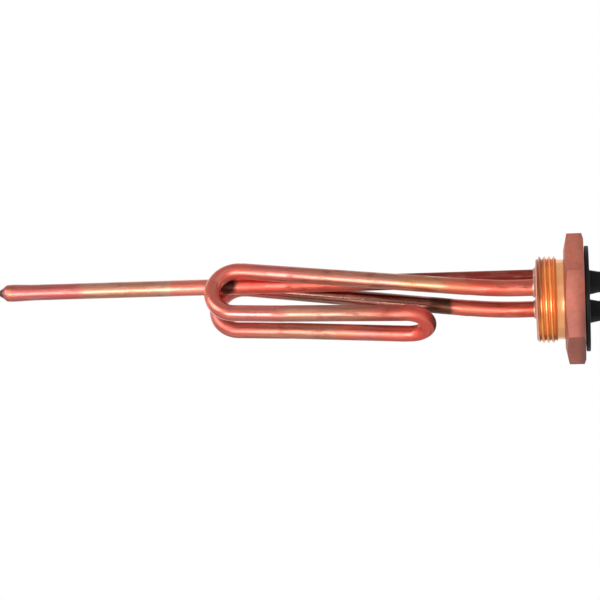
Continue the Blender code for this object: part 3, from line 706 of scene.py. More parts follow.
def hand_over(
    piece: Piece,
    material: Material,
    nodes: Sequence[str],
    smooth_angle: float = 32.0,
) -> Piece:
    """Finish a piece: shade it, dress it, and say which CAD nodes it stands for.

    Args:
        piece: the finished mesh object.
        material: its finish.
        nodes: the CAD nodes that it replaces.
        smooth_angle: the turn, in degrees, past which an edge stays sharp.

    Returns:
        The piece.
    """
    pick(piece)
    bpy.ops.object.shade_smooth_by_angle(angle=math.radians(smooth_angle))
    piece.data.materials.clear()
    piece.data.materials.append(material)
    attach(piece, BODY)
    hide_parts(*nodes)
    LOG.info("%s: %d faces, stands for %s", piece.name, len(piece.data.polygons), ", ".join(nodes))
    return piece


@dataclass
class TubeBend:
    """Draws a tube ring by ring with extrude and spin, and keeps its centreline."""

    piece: Piece
    place: Vector
    heading: Vector
    across: Vector = field(default_factory=lambda: Vector((0.0, 1.0, 0.0)))
    line: list[tuple[float, Vector, Vector, Vector]] = field(default_factory=list)
    moves: list[tuple] = field(default_factory=list)

    def _mark(self, length: float) -> None:
        """Note the centreline point reached after a further length.

        Args:
            length: the way from the point before.
        """
        way = self.line[-1][0] + length if self.line else 0.0
        self.across = (self.across - self.heading * self.across.dot(self.heading)).normalized()
        self.line.append((way, self.place.copy(), self.heading.copy(), self.across.copy()))

    def straight(self, length: float, marks: int = 12) -> None:
        """Pull the open end forward.

        Args:
            length: how far.
            marks: how many centreline points to keep on the way.
        """
        self.moves.append((length, marks))
        bpy.ops.mesh.extrude_region_move(TRANSFORM_OT_translate={"value": self.heading * length})
        self.walk(length, marks)

    def walk(self, length: float, marks: int) -> None:
        """Keep the centreline of a straight piece that is already drawn.

        Args:
            length: how far.
            marks: how many centreline points to keep on the way.
        """
        if not self.line:
            self._mark(0.0)
        for _ in range(marks):
            self.place = self.place + self.heading * (length / marks)
            self._mark(length / marks)

    def bend(self, radius: float, degrees: float, axis: Point, steps: int) -> None:
        """Spin the open end round a bend.

        Args:
            radius: of the centreline.
            degrees: the turn, positive by the right-hand rule about the axis.
            axis: the bend's axis.
            steps: number of facets along the bend.
        """
        self.moves.append((radius, degrees, axis, steps))
        turn_axis = Vector(axis).normalized()
        sign = 1.0 if degrees >= 0.0 else -1.0
        centre = self.place + turn_axis.cross(self.heading) * radius * sign
        angle = math.radians(degrees)
        bpy.ops.mesh.spin(steps=steps, angle=-angle, center=centre, axis=turn_axis)
        turn = Matrix.Rotation(angle / steps, 3, turn_axis)
        for _ in range(steps):
            self.place = centre + turn @ (self.place - centre)
            self.heading = turn @ self.heading
            self._mark(radius * abs(angle) / steps)

    def go_home(self, moves: Sequence[tuple]) -> None:
        """Draw the rear leg: the front leg's moves backwards, each bend about Y turned round.

        Args:
            moves: the front leg's moves, as kept in self.moves.
        """
        for move in reversed(moves):
            if len(move) == 2:
                self.straight(*move)
                continue
            radius, degrees, axis, steps = move
            self.bend(radius, -degrees if axis[1] else degrees, axis, steps)

    def stamp_run(self) -> None:
        """Write each point's attribute "run": its way along the tube and two places across it."""
        mesh = self.piece.data
        points = np.empty(len(mesh.vertices) * 3)
        mesh.vertices.foreach_get("co", points)
        points = points.reshape(-1, 3)
        ways = np.array([mark[0] for mark in self.line])
        centres = np.array([mark[1] for mark in self.line])
        headings = np.array([mark[2] for mark in self.line])
        acrosses = np.array([mark[3] for mark in self.line])
        besides = np.cross(headings, acrosses)
        nearest = np.linalg.norm(points[:, None, :] - centres[None, :, :], axis=2).argmin(axis=1)
        offset = points - centres[nearest]
        run = np.stack(
            [
                ways[nearest] + (offset * headings[nearest]).sum(axis=1),
                (offset * acrosses[nearest]).sum(axis=1),
                (offset * besides[nearest]).sum(axis=1),
            ],
            axis=1,
        )
        layer = mesh.attributes.new("run", "FLOAT_VECTOR", "POINT")
        layer.data.foreach_set("vector", run.astype(np.float32).ravel())


@dataclass
class HeaterSheath:
    """The heater's copper sheath: out, folded back, round the tip and home."""

    diameter: float = 8.0 * MM
    wall: float = 0.6 * MM
    leg_spacing: float = 20.0 * MM
    fold_spacing: float = 16.4 * MM
    level_return: float = 24.0 * MM
    leg_height: float = 0.9 * MM
    spread_start: float = 20.4 * MM
    spread_radius: float = 200.0 * MM
    spread_degrees: float = 7.2
    fold_distance: float = 158.3 * MM
    fold_radius: float = 12.1 * MM
    return_degrees: float = 2.45
    tip_distance: float = 65.6 * MM
    steer_radius: float = 80.0 * MM
    # a point inside the front fold, round which shade is painted
    shade_points: tuple[Point, ...] = ((-165.5 * MM, -5.5 * MM, 16.5 * MM),)
    sides: int = 48
    end_x: float = field(default_factory=lambda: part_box("heater_sheath")[1][0])

    def build(self) -> Piece:
        """Draw the sheath along its route and give it its wall."""
        legs = self.leg_spacing / 2
        pinch = (self.leg_spacing - self.fold_spacing) / 2
        centre = (-legs, self.leg_height)
        ring = new_ring("heater_sheath_tube", self.end_x, centre, self.diameter / 2, self.sides)
        drawer = TubeBend(ring, Vector((self.end_x, *centre)), Vector((-1.0, 0.0, 0.0)))
        up, side = (0.0, 1.0, 0.0), (0.0, 0.0, 1.0)
        with editing(ring):
            bpy.ops.mesh.select_mode(type="VERT")
            bpy.ops.mesh.select_all(action="SELECT")
            drawer.straight(self.end_x + self.spread_start)
            drawer.bend(self.spread_radius, self.spread_degrees, up, 16)
            to_fold = (-self.fold_distance - drawer.place.x) / drawer.heading.x
            angle = math.asin(pinch / to_fold)
            steer = self.steer_radius * angle
            drawer.bend(self.steer_radius, -math.degrees(angle), side, 2)
            drawer.straight(to_fold - 2 * steer, 40)
            drawer.bend(self.steer_radius, math.degrees(angle), side, 2)
            turn = self.return_degrees - 180.0 - self.spread_degrees
            drawer.bend(self.fold_radius, turn, up, 36)
            drawer.straight(self.level_return, 8)
            to_tip = (-self.tip_distance - legs - drawer.place.x) / drawer.heading.x
            angle = math.asin(pinch / to_tip)
            steer = self.steer_radius * angle
            drawer.bend(self.steer_radius, -math.degrees(angle), side, 2)
            drawer.straight(to_tip - 2 * steer, 22)
            drawer.bend(self.steer_radius, math.degrees(angle), side, 2)
            front_leg = list(drawer.moves)
            drawer.bend(-drawer.place.y, 180.0, tuple(drawer.heading.cross(Vector(up))), 40)
            drawer.go_home(front_leg)
        LOG.info("sheath ends at %.4f %.4f %.4f mm", *(drawer.place / MM))
        face_outwards(ring)
        pick(ring)
        wall = ring.modifiers.new("wall", "SOLIDIFY")
        wall.thickness = self.wall
        wall.offset = -1.0
        bpy.ops.object.modifier_apply(modifier=wall.name)
        drawer.stamp_run()
        length = drawer.line[-1][0]
        LOG.info("sheath run %.1f mm", length / MM)
        return hand_over(ring, self.finish(length), ["heater_sheath"])

    def finish(self, length: float) -> Material:
        """Copper, red by the plug, tanned along the legs and bright red at the folds.

        Args:
            length: of the whole run; the tip lies half way.

        Returns:
            The finished material.
        """
        rose, deep, umber = (0.66, 0.135, 0.085), (0.62, 0.095, 0.058), (0.60, 0.24, 0.12)
        tan, blush, bright = (0.52, 0.215, 0.145), (0.62, 0.160, 0.130), (0.84, 0.120, 0.085)
        # brown and olive are painted shade on the rear leg
        brown, olive, ember = (0.25, 0.090, 0.060), (0.090, 0.037, 0.020), (0.74, 0.145, 0.100)
        tip = length / 2
        out = (
            (0.0, rose),
            (20 * MM, rose),
            (32 * MM, deep),
            (50 * MM, (0.66, 0.14, 0.075)),
            (58 * MM, umber),
            (70 * MM, umber),
            (82 * MM, tan),
            (112 * MM, (0.56, 0.185, 0.125)),
            (138 * MM, blush),
            (160 * MM, ember),
            (188 * MM, ember),
            (204 * MM, blush),
            (216 * MM, blush),
            (224 * MM, tan),
            (254 * MM, (0.45, 0.175, 0.115)),
            (tip - 22 * MM, (0.44, 0.085, 0.062)),
        )
        home = (
            (tip - 5 * MM, bright),
            (tip + 12 * MM, bright),
            (tip + 22 * MM, ember),
            (tip + 38 * MM, blush),
            (tip + 46 * MM, (0.72, 0.17, 0.10)),
            (tip + 56 * MM, tan),
            (tip + 84 * MM, (0.55, 0.18, 0.12)),
            (tip + 100 * MM, (0.60, 0.13, 0.10)),
            (tip + 140 * MM, (0.60, 0.11, 0.085)),
            (tip + 152 * MM, (0.50, 0.10, 0.07)),
            # painted shade: the rear leg darker where it lies in shadow inside the loop
            (tip + 168 * MM, brown),
            (length - 64 * MM, brown),
            # painted shadow of the tip bend cast on the rear leg near the plug
            (length - 62 * MM, olive),
            (length - 53 * MM, olive),
            (length - 51 * MM, rose),
            (length, deep),
        )
        return CopperTube(
            "sheath_copper",
            out + home,
            # painted shade on the outer edge of the tip bend
            shaded_bends=((tip - 10 * MM, tip + 29 * MM, 1.0),),
            matte=(
                (-10 * MM, 56 * MM, 0.9),
                (50 * MM, 172 * MM, 0.5),
                (tip - 84 * MM, tip - 38 * MM, 0.5),
                (tip - 44 * MM, tip + 16 * MM, 1.0),
                (tip + 13 * MM, tip + 116 * MM, 0.75),
                (length - 66 * MM, length - 48 * MM, 1.0),
                (length - 52 * MM, length + 10 * MM, 0.9),
            ),
            shade_points=self.shade_points,
            shade_reach=5.5 * MM,
        ).material()


@dataclass
class ThermostatPocket:
    """The long copper tube for the thermostat, with its swollen, coned and closed end."""

    diameter: float = 8.0 * MM
    bore: float = 7.0 * MM
    height: float = 12.8 * MM
    swell_diameter: float = 8.7 * MM
    swell_length: float = 17.0 * MM
    cone_length: float = 4.4 * MM
    nib_diameter: float = 2.2 * MM
    nib_length: float = 0.8 * MM
    mouth_lip: float = 0.12 * MM
    # a point on the pocket behind the front fold, round which shade is painted
    shade_points: tuple[Point, ...] = ((-166.0 * MM, -3.4 * MM, 11.5 * MM),)
    sides: int = 48

    def build(self) -> Piece:
        """Turn the pocket in one run: bore, mouth, outside and closed tip."""
        low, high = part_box("thermostat_pocket")
        tip, mouth = low[0], high[0]
        outer, bore = self.diameter / 2, self.bore / 2
        swell, nib = self.swell_diameter / 2, self.nib_diameter / 2
        nib_start = tip + self.nib_length
        cone_start = nib_start + self.cone_length
        lip = self.mouth_lip
        bore_round = [math.radians(a) for a in (15, 35, 55, 75, 90)]
        profile = [(cone_start, 0.0)]
        profile += [(cone_start + bore - bore * math.cos(a), bore * math.sin(a)) for a in bore_round]
        profile += [(mouth - lip, bore), (mouth, bore + lip)]
        profile += [(mouth, outer - lip), (mouth - lip, outer)]
        profile += [(cone_start + self.swell_length, outer)]
        for share in (0.75, 0.5, 0.3):
            ease = (1.0 - math.cos(math.pi * (1.0 - share))) / 2
            grown = outer + (swell - outer) * min(1.0, ease * 1.2)
            profile.append((cone_start + self.swell_length * share, grown))
        profile += [
            (cone_start + 2.4 * MM, swell),
            (cone_start + 0.9 * MM, swell * 0.985),
            (cone_start, swell * 0.955),
            (cone_start - 0.7 * MM, swell * 0.83),
            (cone_start - 2.1 * MM, swell * 0.58),
            (cone_start - 3.4 * MM, swell * 0.40),
            (nib_start, nib),
            (tip + 0.40 * MM, nib * 0.98),
            (tip + 0.12 * MM, nib * 0.72),
            (tip, nib * 0.35),
        ]
        piece = turn_profile("thermostat_pocket_tube", profile, self.sides, (0.0, self.height))
        with editing(piece) as mesh:
            for face in mesh.faces:
                face.select_set(len(face.verts) > 4)
            bpy.ops.mesh.poke()
        face_outwards(piece)
        line = TubeBend(piece, Vector((mouth, 0.0, self.height)), Vector((-1.0, 0.0, 0.0)))
        line.walk(mouth - tip, 60)
        line.stamp_run()
        return hand_over(piece, self.finish(mouth - tip), ["thermostat_pocket"])

    def finish(self, length: float) -> Material:
        """Copper, darkened by the plug as painted shade where it lies behind the front leg, salmon behind
        the fold, tan in the middle and rose at the end.

        Args:
            length: of the whole pocket, from its mouth to its tip.

        Returns:
            The finished material.
        """
        deep, salmon, tan = (0.32, 0.044, 0.031), (0.80, 0.205, 0.140), (0.58, 0.235, 0.145)
        rose, ring, dark_tint = (0.60, 0.130, 0.115), (0.60, 0.20, 0.07), (0.10, 0.025, 0.018)
        tints = (
            # painted shade: the stretch behind the front leg, by the plug, kept dark
            (0.0, deep),
            (90 * MM, deep),
            (105 * MM, (0.66, 0.12, 0.075)),
            (148 * MM, (0.80, 0.125, 0.088)),
            (163 * MM, salmon),
            (189 * MM, salmon),
            (191 * MM, (0.66, 0.30, 0.20)),
            (200 * MM, tan),
            (232 * MM, tan),
            (240 * MM, rose),
            (length - 9.0 * MM, rose),
            (length - 7.8 * MM, ring),
            (length - 6.6 * MM, rose),
            (length - 4.8 * MM, rose),
            (length - 3.4 * MM, dark_tint),
            (length, dark_tint),
        )
        return CopperTube(
            "pocket_copper",
            tints,
            wander=1.5 * MM,
            stain_share=0.5,
            matte=((-10 * MM, 97 * MM, 1.0), (94 * MM, 160 * MM, 0.8)),
            shade_points=self.shade_points,
            roughness=0.33,
            coat=0.6,
            coat_roughness=0.27,
        ).material()


@dataclass
class BrazeFillets:
    """The brazed fillets where the three tubes leave the plug."""

    height: float = 1.1 * MM
    width: float = 1.4 * MM
    land: float = 0.2 * MM
    gap: float = 0.3 * MM
    tube_diameter: float = 8.0 * MM
    sides: int = 48

    def build(self) -> None:
        """Turn one fillet, copy it to each tube, and let each one's surface run unevenly."""
        material = BrazeAlloy().material()
        names = ("braze_ring_front", "braze_ring_rear", "braze_ring_pocket")
        centres = []
        for name in names:
            low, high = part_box(name)
            centres.append(((low[1] + high[1]) / 2, (low[2] + high[2]) / 2))
        face_x, first = high[0], centres[0]
        inner = self.tube_diameter / 2 + self.gap
        profile = [(face_x, inner)]
        for i in range(9):
            turn = math.pi / 2 * i / 8
            reach = self.width - (self.width - self.land) * math.sin(turn)
            profile.append((face_x - self.height * (1.0 - math.cos(turn)), inner + reach))
        profile.append((face_x - self.height, inner))
        fillets = [turn_profile(f"{names[0]}_fillet", profile, self.sides, first, ring=True)]
        for name, centre in zip(names[1:], centres[1:]):
            shift = (0.0, centre[0] - first[0], centre[1] - first[1])
            fillets.append(copied(fillets[0], f"{name}_fillet", shift))
        for fillet, name, centre in zip(fillets, names, centres):
            self._run_unevenly(fillet, face_x, centre, inner)
            hand_over(fillet, material, [name], 60.0)

    def _run_unevenly(
        self, fillet: Piece, face_x: float, centre: Pair, inner: float
    ) -> None:
        """Move the fillet's outer skin in and out by a slow wave round the joint.

        Args:
            fillet: the fillet.
            face_x: where it lies on the plug.
            centre: its axis, as Y and Z.
            inner: radius of its hole.
        """
        for vertex in fillet.data.vertices:
            y, z = vertex.co.y - centre[0], vertex.co.z - centre[1]
            radius = math.hypot(y, z)
            if radius <= inner + 0.05 * MM or vertex.co.x > face_x - 0.01 * MM:
                continue
            angle = math.atan2(z, y)
            wave = 0.10 * math.sin(3 * angle + centre[0] * 900) + 0.06 * math.sin(7 * angle + 1.3)
            vertex.co.x += (vertex.co.x - face_x) * wave


@dataclass
class ScrewPlug:
    """The brass plug: threaded nose, neck, hexagon, and the recess behind the cover."""

    thread_diameter: float = 41.91 * MM
    pitch: float = 2.309 * MM
    thread_depth: float = 1.479 * MM
    flank_degrees: float = 27.5
    thread_length: float = 9.8 * MM
    lead_in: float = 1.4 * MM
    neck_diameter: float = 38.6 * MM
    neck_length: float = 3.6 * MM
    across_flats: float = 55.0 * MM
    head_length: float = 9.7 * MM
    head_turn_degrees: float = 6.0
    seat_diameter: float = 47.0 * MM
    seat_chamfer_degrees: float = 12.0
    crown_diameter: float = 58.5 * MM
    crown_chamfer_degrees: float = 18.0
    recess_diameter: float = 34.8 * MM
    floor_thickness: float = 4.5 * MM
    rim_seat_diameter: float = 42.0 * MM
    rim_seat_depth: float = 3.2 * MM
    pillar_diameter: float = 9.6 * MM
    pillar_top: float = 2.0 * MM
    earth_pillar_diameter: float = 7.6 * MM
    earth_pillar_top: float = -3.0 * MM
    earth_height: float = -11.5 * MM
    screw_hole_diameter: float = 4.6 * MM
    cover_screw_depth: float = 5.9 * MM
    earth_screw_depth: float = 5.0 * MM
    tube_hole_diameter: float = 8.6 * MM
    pocket_height: float = 12.8 * MM
    leg_offset: float = 10.0 * MM
    leg_height: float = 0.9 * MM
    overrun: float = 1.0 * MM
    sides: int = 128

    @property
    def nose_end(self) -> float:
        """X of the end face of the threaded nose."""
        return -(self.neck_length + self.thread_length)

    def build(self) -> Piece:
        """Model the head, join the nose, and cut the recess and the holes."""
        plug = self._head()
        cut(plug, self._nose(), "UNION")
        cut(plug, self._recess())
        foot = self.nose_end + self.floor_thickness - self.overrun
        profile = self._pillar_profile(foot, self.pillar_top, self.pillar_diameter)
        pillar = turn_profile("pillar", profile, 48)
        cut(plug, pillar, "UNION")
        earth = turn_profile(
            "earth_pillar",
            self._pillar_profile(foot, self.earth_pillar_top, self.earth_pillar_diameter),
            48,
            (0.0, self.earth_height),
        )
        cut(plug, earth, "UNION")
        for hole in self._holes():
            cut(plug, hole)
        return hand_over(plug, PlugBrass().material(), ["screw_plug"], 28.0)

    def _head(self) -> Piece:
        """Cut the hexagon from a six-sided blank, chamfer its corners and ease its edges.

        Returns:
            The head.
        """
        clear_selection()
        corner = self.across_flats / 2 / math.cos(math.radians(30.0))
        bpy.ops.mesh.primitive_cylinder_add(
            vertices=6,
            radius=corner,
            depth=self.head_length,
            location=(self.head_length / 2, 0.0, 0.0),
            rotation=(0.0, math.pi / 2, 0.0),
        )
        blank = settle(bpy.context.object, "screw_plug_body")
        first = math.atan2(blank.data.vertices[0].co.z, blank.data.vertices[0].co.y)
        blank.data.transform(Matrix.Rotation(math.radians(self.head_turn_degrees) - first, 4, "X"))
        seat_slope = math.tan(math.radians(self.seat_chamfer_degrees))
        crown_slope = math.tan(math.radians(self.crown_chamfer_degrees))
        seat, crown = self.seat_diameter / 2, self.crown_diameter / 2
        rim = corner + self.overrun
        top = self.head_length
        profile = [
            (-self.overrun, 0.0),
            (-self.overrun, seat - self.overrun / seat_slope),
            ((rim - seat) * seat_slope, rim),
            (top - (rim - crown) * crown_slope, rim),
            (top + self.overrun, crown - self.overrun / crown_slope),
            (top + self.overrun, 0.0),
        ]
        cut(blank, turn_profile("corner_chamfer", profile, self.sides), "INTERSECT")
        soften(blank, 0.35 * MM, 3, 10.0)
        return blank

    def _nose(self) -> Piece:
        """Turn the nose and cut its thread.

        Returns:
            The nose with its neck.
        """
        crest, neck = self.thread_diameter / 2, self.neck_diameter / 2
        fillet = 0.5 * MM
        profile = [
            (self.nose_end, 0.0),
            (self.nose_end, crest - self.lead_in - 0.2 * MM),
            (self.nose_end + 0.2 * MM, crest - self.lead_in),
            (self.nose_end + self.lead_in, crest),
            (-self.neck_length - (crest - neck) / 2, crest),
            (-self.neck_length, neck + fillet * 0.4),
            (-self.neck_length + fillet, neck),
            (self.overrun, neck),
            (self.overrun, 0.0),
        ]
        nose = turn_profile("nose", profile, self.sides)
        return cut(nose, self._thread_cutter())

    def _thread_cutter(self) -> Piece:
        """Wind a V-shaped cutter round the nose with a Screw modifier, and close its two ends.

        Returns:
            The cutter.
        """
        root = self.thread_diameter / 2 - self.thread_depth
        crest = self.thread_diameter / 2
        slope = math.tan(math.radians(self.flank_degrees))
        flat = 0.12 * MM
        rounding = 0.12 * MM
        crest_half = flat + (crest - rounding - root) * slope
        outer_half = crest_half + 0.22 * MM
        half = [
            (0.0, root),
            (flat, root + 0.02 * MM),
            (flat + rounding * slope * 2, root + rounding * 1.6),
            (crest_half, crest - rounding),
            (outer_half, crest + 0.15 * MM),
        ]
        outline = [(-x, r) for x, r in half[:0:-1]] + half
        start = self.nose_end - self.pitch
        clear_selection()
        bpy.ops.mesh.primitive_circle_add(vertices=len(outline), radius=self.pitch)
        cutter = settle(bpy.context.object, "thread_cutter")
        for vertex, (x, radius) in zip(cutter.data.vertices, outline):
            vertex.co = (start + x, radius, 0.0)
        pick(cutter)
        screw = cutter.modifiers.new("turns", "SCREW")
        turns = (self.thread_length + 1.5 * self.pitch) / self.pitch
        screw.axis = "X"
        screw.angle = 2 * math.pi * turns
        screw.screw_offset = self.pitch * turns
        screw.steps = screw.render_steps = round(self.sides * turns)
        screw.use_merge_vertices = False
        bpy.ops.object.modifier_apply(modifier=screw.name)
        with editing(cutter):
            bpy.ops.mesh.select_mode(type="EDGE")
            bpy.ops.mesh.select_non_manifold()
            bpy.ops.mesh.fill_holes(sides=0)
            bpy.ops.mesh.select_all(action="SELECT")
            bpy.ops.mesh.normals_make_consistent(inside=False)
        return cutter

    def _recess(self) -> Piece:
        """The wiring space, with the wider step that takes the cover's rim.

        Returns:
            The tool that cuts it.
        """
        floor = self.nose_end + self.floor_thickness
        step = self.head_length - self.rim_seat_depth
        mouth = self.head_length + self.overrun
        wide, narrow = self.rim_seat_diameter / 2, self.recess_diameter / 2
        profile = [
            (floor, 0.0),
            (floor, narrow - 0.6 * MM),
            (floor + 0.6 * MM, narrow),
            (step, narrow),
            (step, wide),
            (self.head_length - 0.4 * MM, wide),
            (self.head_length, wide + 0.4 * MM),
            (mouth, wide + 0.4 * MM),
            (mouth, 0.0),
        ]
        return turn_profile("recess", profile, self.sides)

    def _pillar_profile(self, foot: float, top: float, diameter: float) -> Profile:
        """The outline of a screw pillar with an eased top edge.

        Args:
            foot: X of its foot.
            top: X of its top.
            diameter: its diameter.

        Returns:
            The outline, as x and radius.
        """
        ease = 0.3 * MM
        radius = diameter / 2
        return [(foot, 0.0), (foot, radius), (top - ease, radius), (top, radius - ease), (top, 0.0)]

    def _holes(self) -> list[Piece]:
        """The drills for the three tubes and the two screws.

        Returns:
            The tools.
        """
        start = self.nose_end - self.overrun
        end = self.nose_end + self.floor_thickness + self.overrun
        wide, narrow = self.tube_hole_diameter / 2, self.screw_hole_diameter / 2
        drills = [("pocket_drill", start, end, wide, (0.0, self.pocket_height))]
        for side in Side:
            centre = (side.value * self.leg_offset, self.leg_height)
            drills.append((f"leg_drill_{side.name.lower()}", start, end, wide, centre))
        for name, top, depth, height in (
            ("cover_screw_drill", self.pillar_top, self.cover_screw_depth, 0.0),
            ("earth_screw_drill", self.earth_pillar_top, self.earth_screw_depth, self.earth_height),
        ):
            drills.append((name, top - depth, top + self.overrun, narrow, (0.0, height)))
        return [
            turn_profile(name, [(low, 0.0), (low, radius), (high, radius), (high, 0.0)], 48, centre)
            for name, low, high, radius, centre in drills
        ]


@dataclass
class TerminalCover:
    """The moulded cover with its rim, boss, two ribbed shrouds and three openings."""

    diameter: float = 51.0 * MM
    thickness: float = 2.0 * MM
    back: float = 10.0 * MM
    edge_round: float = 0.5 * MM
    rim_outer_diameter: float = 41.4 * MM
    rim_wall: float = 1.5 * MM
    rim_depth: float = 2.8 * MM
    boss_diameter: float = 10.4 * MM
    boss_end: float = 2.3 * MM
    shroud_offset: float = 13.4 * MM
    shroud_height: float = 6.2 * MM
    shroud_width: float = 7.4 * MM
    shroud_length: float = 10.0 * MM
    shroud_draft: float = 0.9 * MM
    shroud_wall: float = 0.7 * MM
    shroud_floor: float = 1.0 * MM
    rib_count: int = 5
    rib_depth: float = 0.16 * MM
    leg_height: float = 0.9 * MM
    sink_diameter: float = 8.4 * MM
    screw_hole_diameter: float = 4.6 * MM
    head_floor: float = 7.7 * MM
    rod_hole_diameter: float = 9.2 * MM
    pocket_height: float = 12.8 * MM
    earth_opening: Pair = (9.2 * MM, 5.6 * MM)
    earth_blade_height: float = -15.8 * MM
    overrun: float = 1.0 * MM
    sides: int = 128

    @property
    def front(self) -> float:
        """X of the cover's outer face."""
        return self.back + self.thickness

    @property
    def shroud_centre(self) -> Pair:
        """Y and Z of the front shroud, which the rear one mirrors."""
        return Side.FRONT.value * self.shroud_offset, self.leg_height

    def build(self) -> Piece:
        """Turn the disc, raise the shrouds and cut the openings."""
        cover = self._disc()
        shapes = (
            (self._shroud(), "UNION"),
            (self._hollow(), "DIFFERENCE"),
            (self._slot(), "DIFFERENCE"),
        )
        for shape, operation in shapes:
            across = copied(shape, f"{shape.name}_across", mirrored=True)
            cut(cover, shape, operation)
            cut(cover, across, operation)
        for tool in (self._rod_hole(), self._earth_opening(), self._screw_sink()):
            cut(cover, tool)
        return hand_over(cover, Phenolic().material(), ["terminal_cover"], 30.0)

    def _disc(self) -> Piece:
        """The disc with its rounded edge, rim and boss.

        Returns:
            The disc.
        """
        edge, rim = self.diameter / 2, self.rim_outer_diameter / 2
        round_off = self.edge_round
        arc = [math.radians(a) for a in (0, 30, 60, 90)]
        ease = 0.25 * MM
        profile = [
            (self.boss_end, 0.0),
            (self.boss_end, self.boss_diameter / 2 - ease),
            (self.boss_end + ease, self.boss_diameter / 2),
            (self.back, self.boss_diameter / 2),
            (self.back, rim - self.rim_wall),
            (self.back - self.rim_depth, rim - self.rim_wall),
            (self.back - self.rim_depth, rim - ease),
            (self.back - self.rim_depth + ease, rim),
            (self.back, rim),
            (self.back, edge - ease),
            (self.back + ease, edge),
        ]
        profile += [
            (
                self.front - round_off + round_off * math.sin(a),
                edge - round_off + round_off * math.cos(a),
            )
            for a in arc
        ]
        profile.append((self.front, 0.0))
        return turn_profile("terminal_cover_moulding", profile, self.sides)

    def _shroud(self) -> Piece:
        """One tapered block: a plate pulled up in steps, so that shallow ribs run round it.

        Returns:
            The block.
        """
        clear_selection()
        root = self.front - self.overrun / 2
        centre = self.shroud_centre
        facing = (0.0, math.pi / 2, 0.0)
        bpy.ops.mesh.primitive_plane_add(size=1.0, location=(root, *centre), rotation=facing)
        block = settle(bpy.context.object, "shroud")
        low_y = centre[0] - self.shroud_width / 2
        low_z = centre[1] - self.shroud_length / 2
        for vertex in block.data.vertices:
            vertex.co.y = low_y if vertex.co.y < centre[0] else low_y + self.shroud_width
            vertex.co.z = low_z if vertex.co.z < centre[1] else low_z + self.shroud_length
        steps = self._rib_steps()
        with editing(block):
            bpy.ops.mesh.select_all(action="SELECT")
            x, width, length = root, self.shroud_width, self.shroud_length
            for next_x, inset in steps:
                shift = {"value": (next_x - x, 0.0, 0.0)}
                bpy.ops.mesh.extrude_region_move(TRANSFORM_OT_translate=shift)
                next_width = self.shroud_width - 2 * inset
                next_length = self.shroud_length - 2 * inset
                ratio = (1.0, next_width / width, next_length / length)
                bpy.ops.transform.resize(value=ratio, center_override=(next_x, *centre))
                x, width, length = next_x, next_width, next_length
        face_outwards(block)
        self._round_corners(block, centre)
        return block

    def _rib_steps(self) -> list[Pair]:
        """(x, inset) of each step up the block's side: a plain root, ribs and a plain lip.

        Returns:
            The steps, from the root up.
        """
        lip = 1.3 * MM
        root = 0.7 * MM
        tall = self.shroud_height
        pitch = (tall - lip - root) / self.rib_count
        steps = []
        for i in range(self.rib_count):
            rise = root + pitch * i
            slope = self.shroud_draft * rise / tall
            steps += [
                (self.front + rise, slope),
                (self.front + rise + pitch * 0.22, slope + self.rib_depth),
                (self.front + rise + pitch * 0.5, slope + self.rib_depth),
                (self.front + rise + pitch * 0.72, slope),
            ]
        steps.append((self.front + tall - lip, self.shroud_draft * 0.75))
        steps.append((self.front + tall - 0.2 * MM, self.shroud_draft * 0.95))
        steps.append((self.front + tall, self.shroud_draft + 0.2 * MM))
        return steps

    def _round_corners(self, block: Piece, centre: Pair) -> None:
        """Round the four upright corners of a block.

        Args:
            block: the block.
            centre: its middle, as Y and Z.
        """
        with editing(block) as mesh:
            for edge in mesh.edges:
                first, second = (vertex.co for vertex in edge.verts)
                upright = abs(first.x - second.x) > 0.02 * MM
                same_side = (first.y - centre[0]) * (second.y - centre[0]) > 0
                same_end = (first.z - centre[1]) * (second.z - centre[1]) > 0
                edge.select_set(upright and same_side and same_end)
            bpy.ops.mesh.bevel(offset=0.6 * MM, segments=4, clamp_overlap=True)

    def _box(
        self,
        name: str,
        x: Pair,
        size: Pair,
        centre: Pair,
    ) -> Piece:
        """A cutter block with rounded corners along X.

        Args:
            name: its name.
            x: where it starts and ends along X.
            size: along Y and along Z.
            centre: its middle, as Y and Z.

        Returns:
            The tool.
        """
        clear_selection()
        bpy.ops.mesh.primitive_cube_add(size=1.0, location=((x[0] + x[1]) / 2, *centre))
        cutter = bpy.context.object
        cutter.scale = (x[1] - x[0], *size)
        settle(cutter, name)
        with editing(cutter) as mesh:
            for edge in mesh.edges:
                edge.select_set(abs(edge.verts[0].co.x - edge.verts[1].co.x) > 0.1 * MM)
            bpy.ops.mesh.bevel(offset=min(0.35 * MM, min(size) / 4), segments=3)
        return cutter

    def _hollow(self) -> Piece:
        """The socket inside one shroud.

        Returns:
            The tool that cuts it.
        """
        inside = 2 * (self.shroud_draft + self.shroud_wall)
        size = (self.shroud_width - inside, self.shroud_length - inside)
        ends = (self.front - self.shroud_floor, self.front + self.shroud_height + self.overrun)
        return self._box("shroud_hollow", ends, size, self.shroud_centre)

    def _slot(self) -> Piece:
        """The slot that one tab stands in."""
        ends = (self.back - self.overrun, self.front)
        return self._box("tab_slot", ends, (1.4 * MM, 6.6 * MM), self.shroud_centre)

    def _rod_hole(self) -> Piece:
        """The eased hole that the thermostat's rod goes in by.

        Returns:
            The tool that cuts it.
        """
        radius = self.rod_hole_diameter / 2
        ease = 0.3 * MM
        back, front = self.back - self.overrun, self.front + self.overrun
        profile = [
            (back, 0.0),
            (back, radius),
            (self.front - ease, radius),
            (self.front, radius + ease),
            (front, radius + ease),
            (front, 0.0),
        ]
        return turn_profile("rod_hole", profile, 64, (0.0, self.pocket_height))

    def _earth_opening(self) -> Piece:
        """The opening over the earth tab."""
        ends = (self.back - self.overrun, self.front + self.overrun)
        return self._box("earth_opening", ends, self.earth_opening, (0.0, self.earth_blade_height))

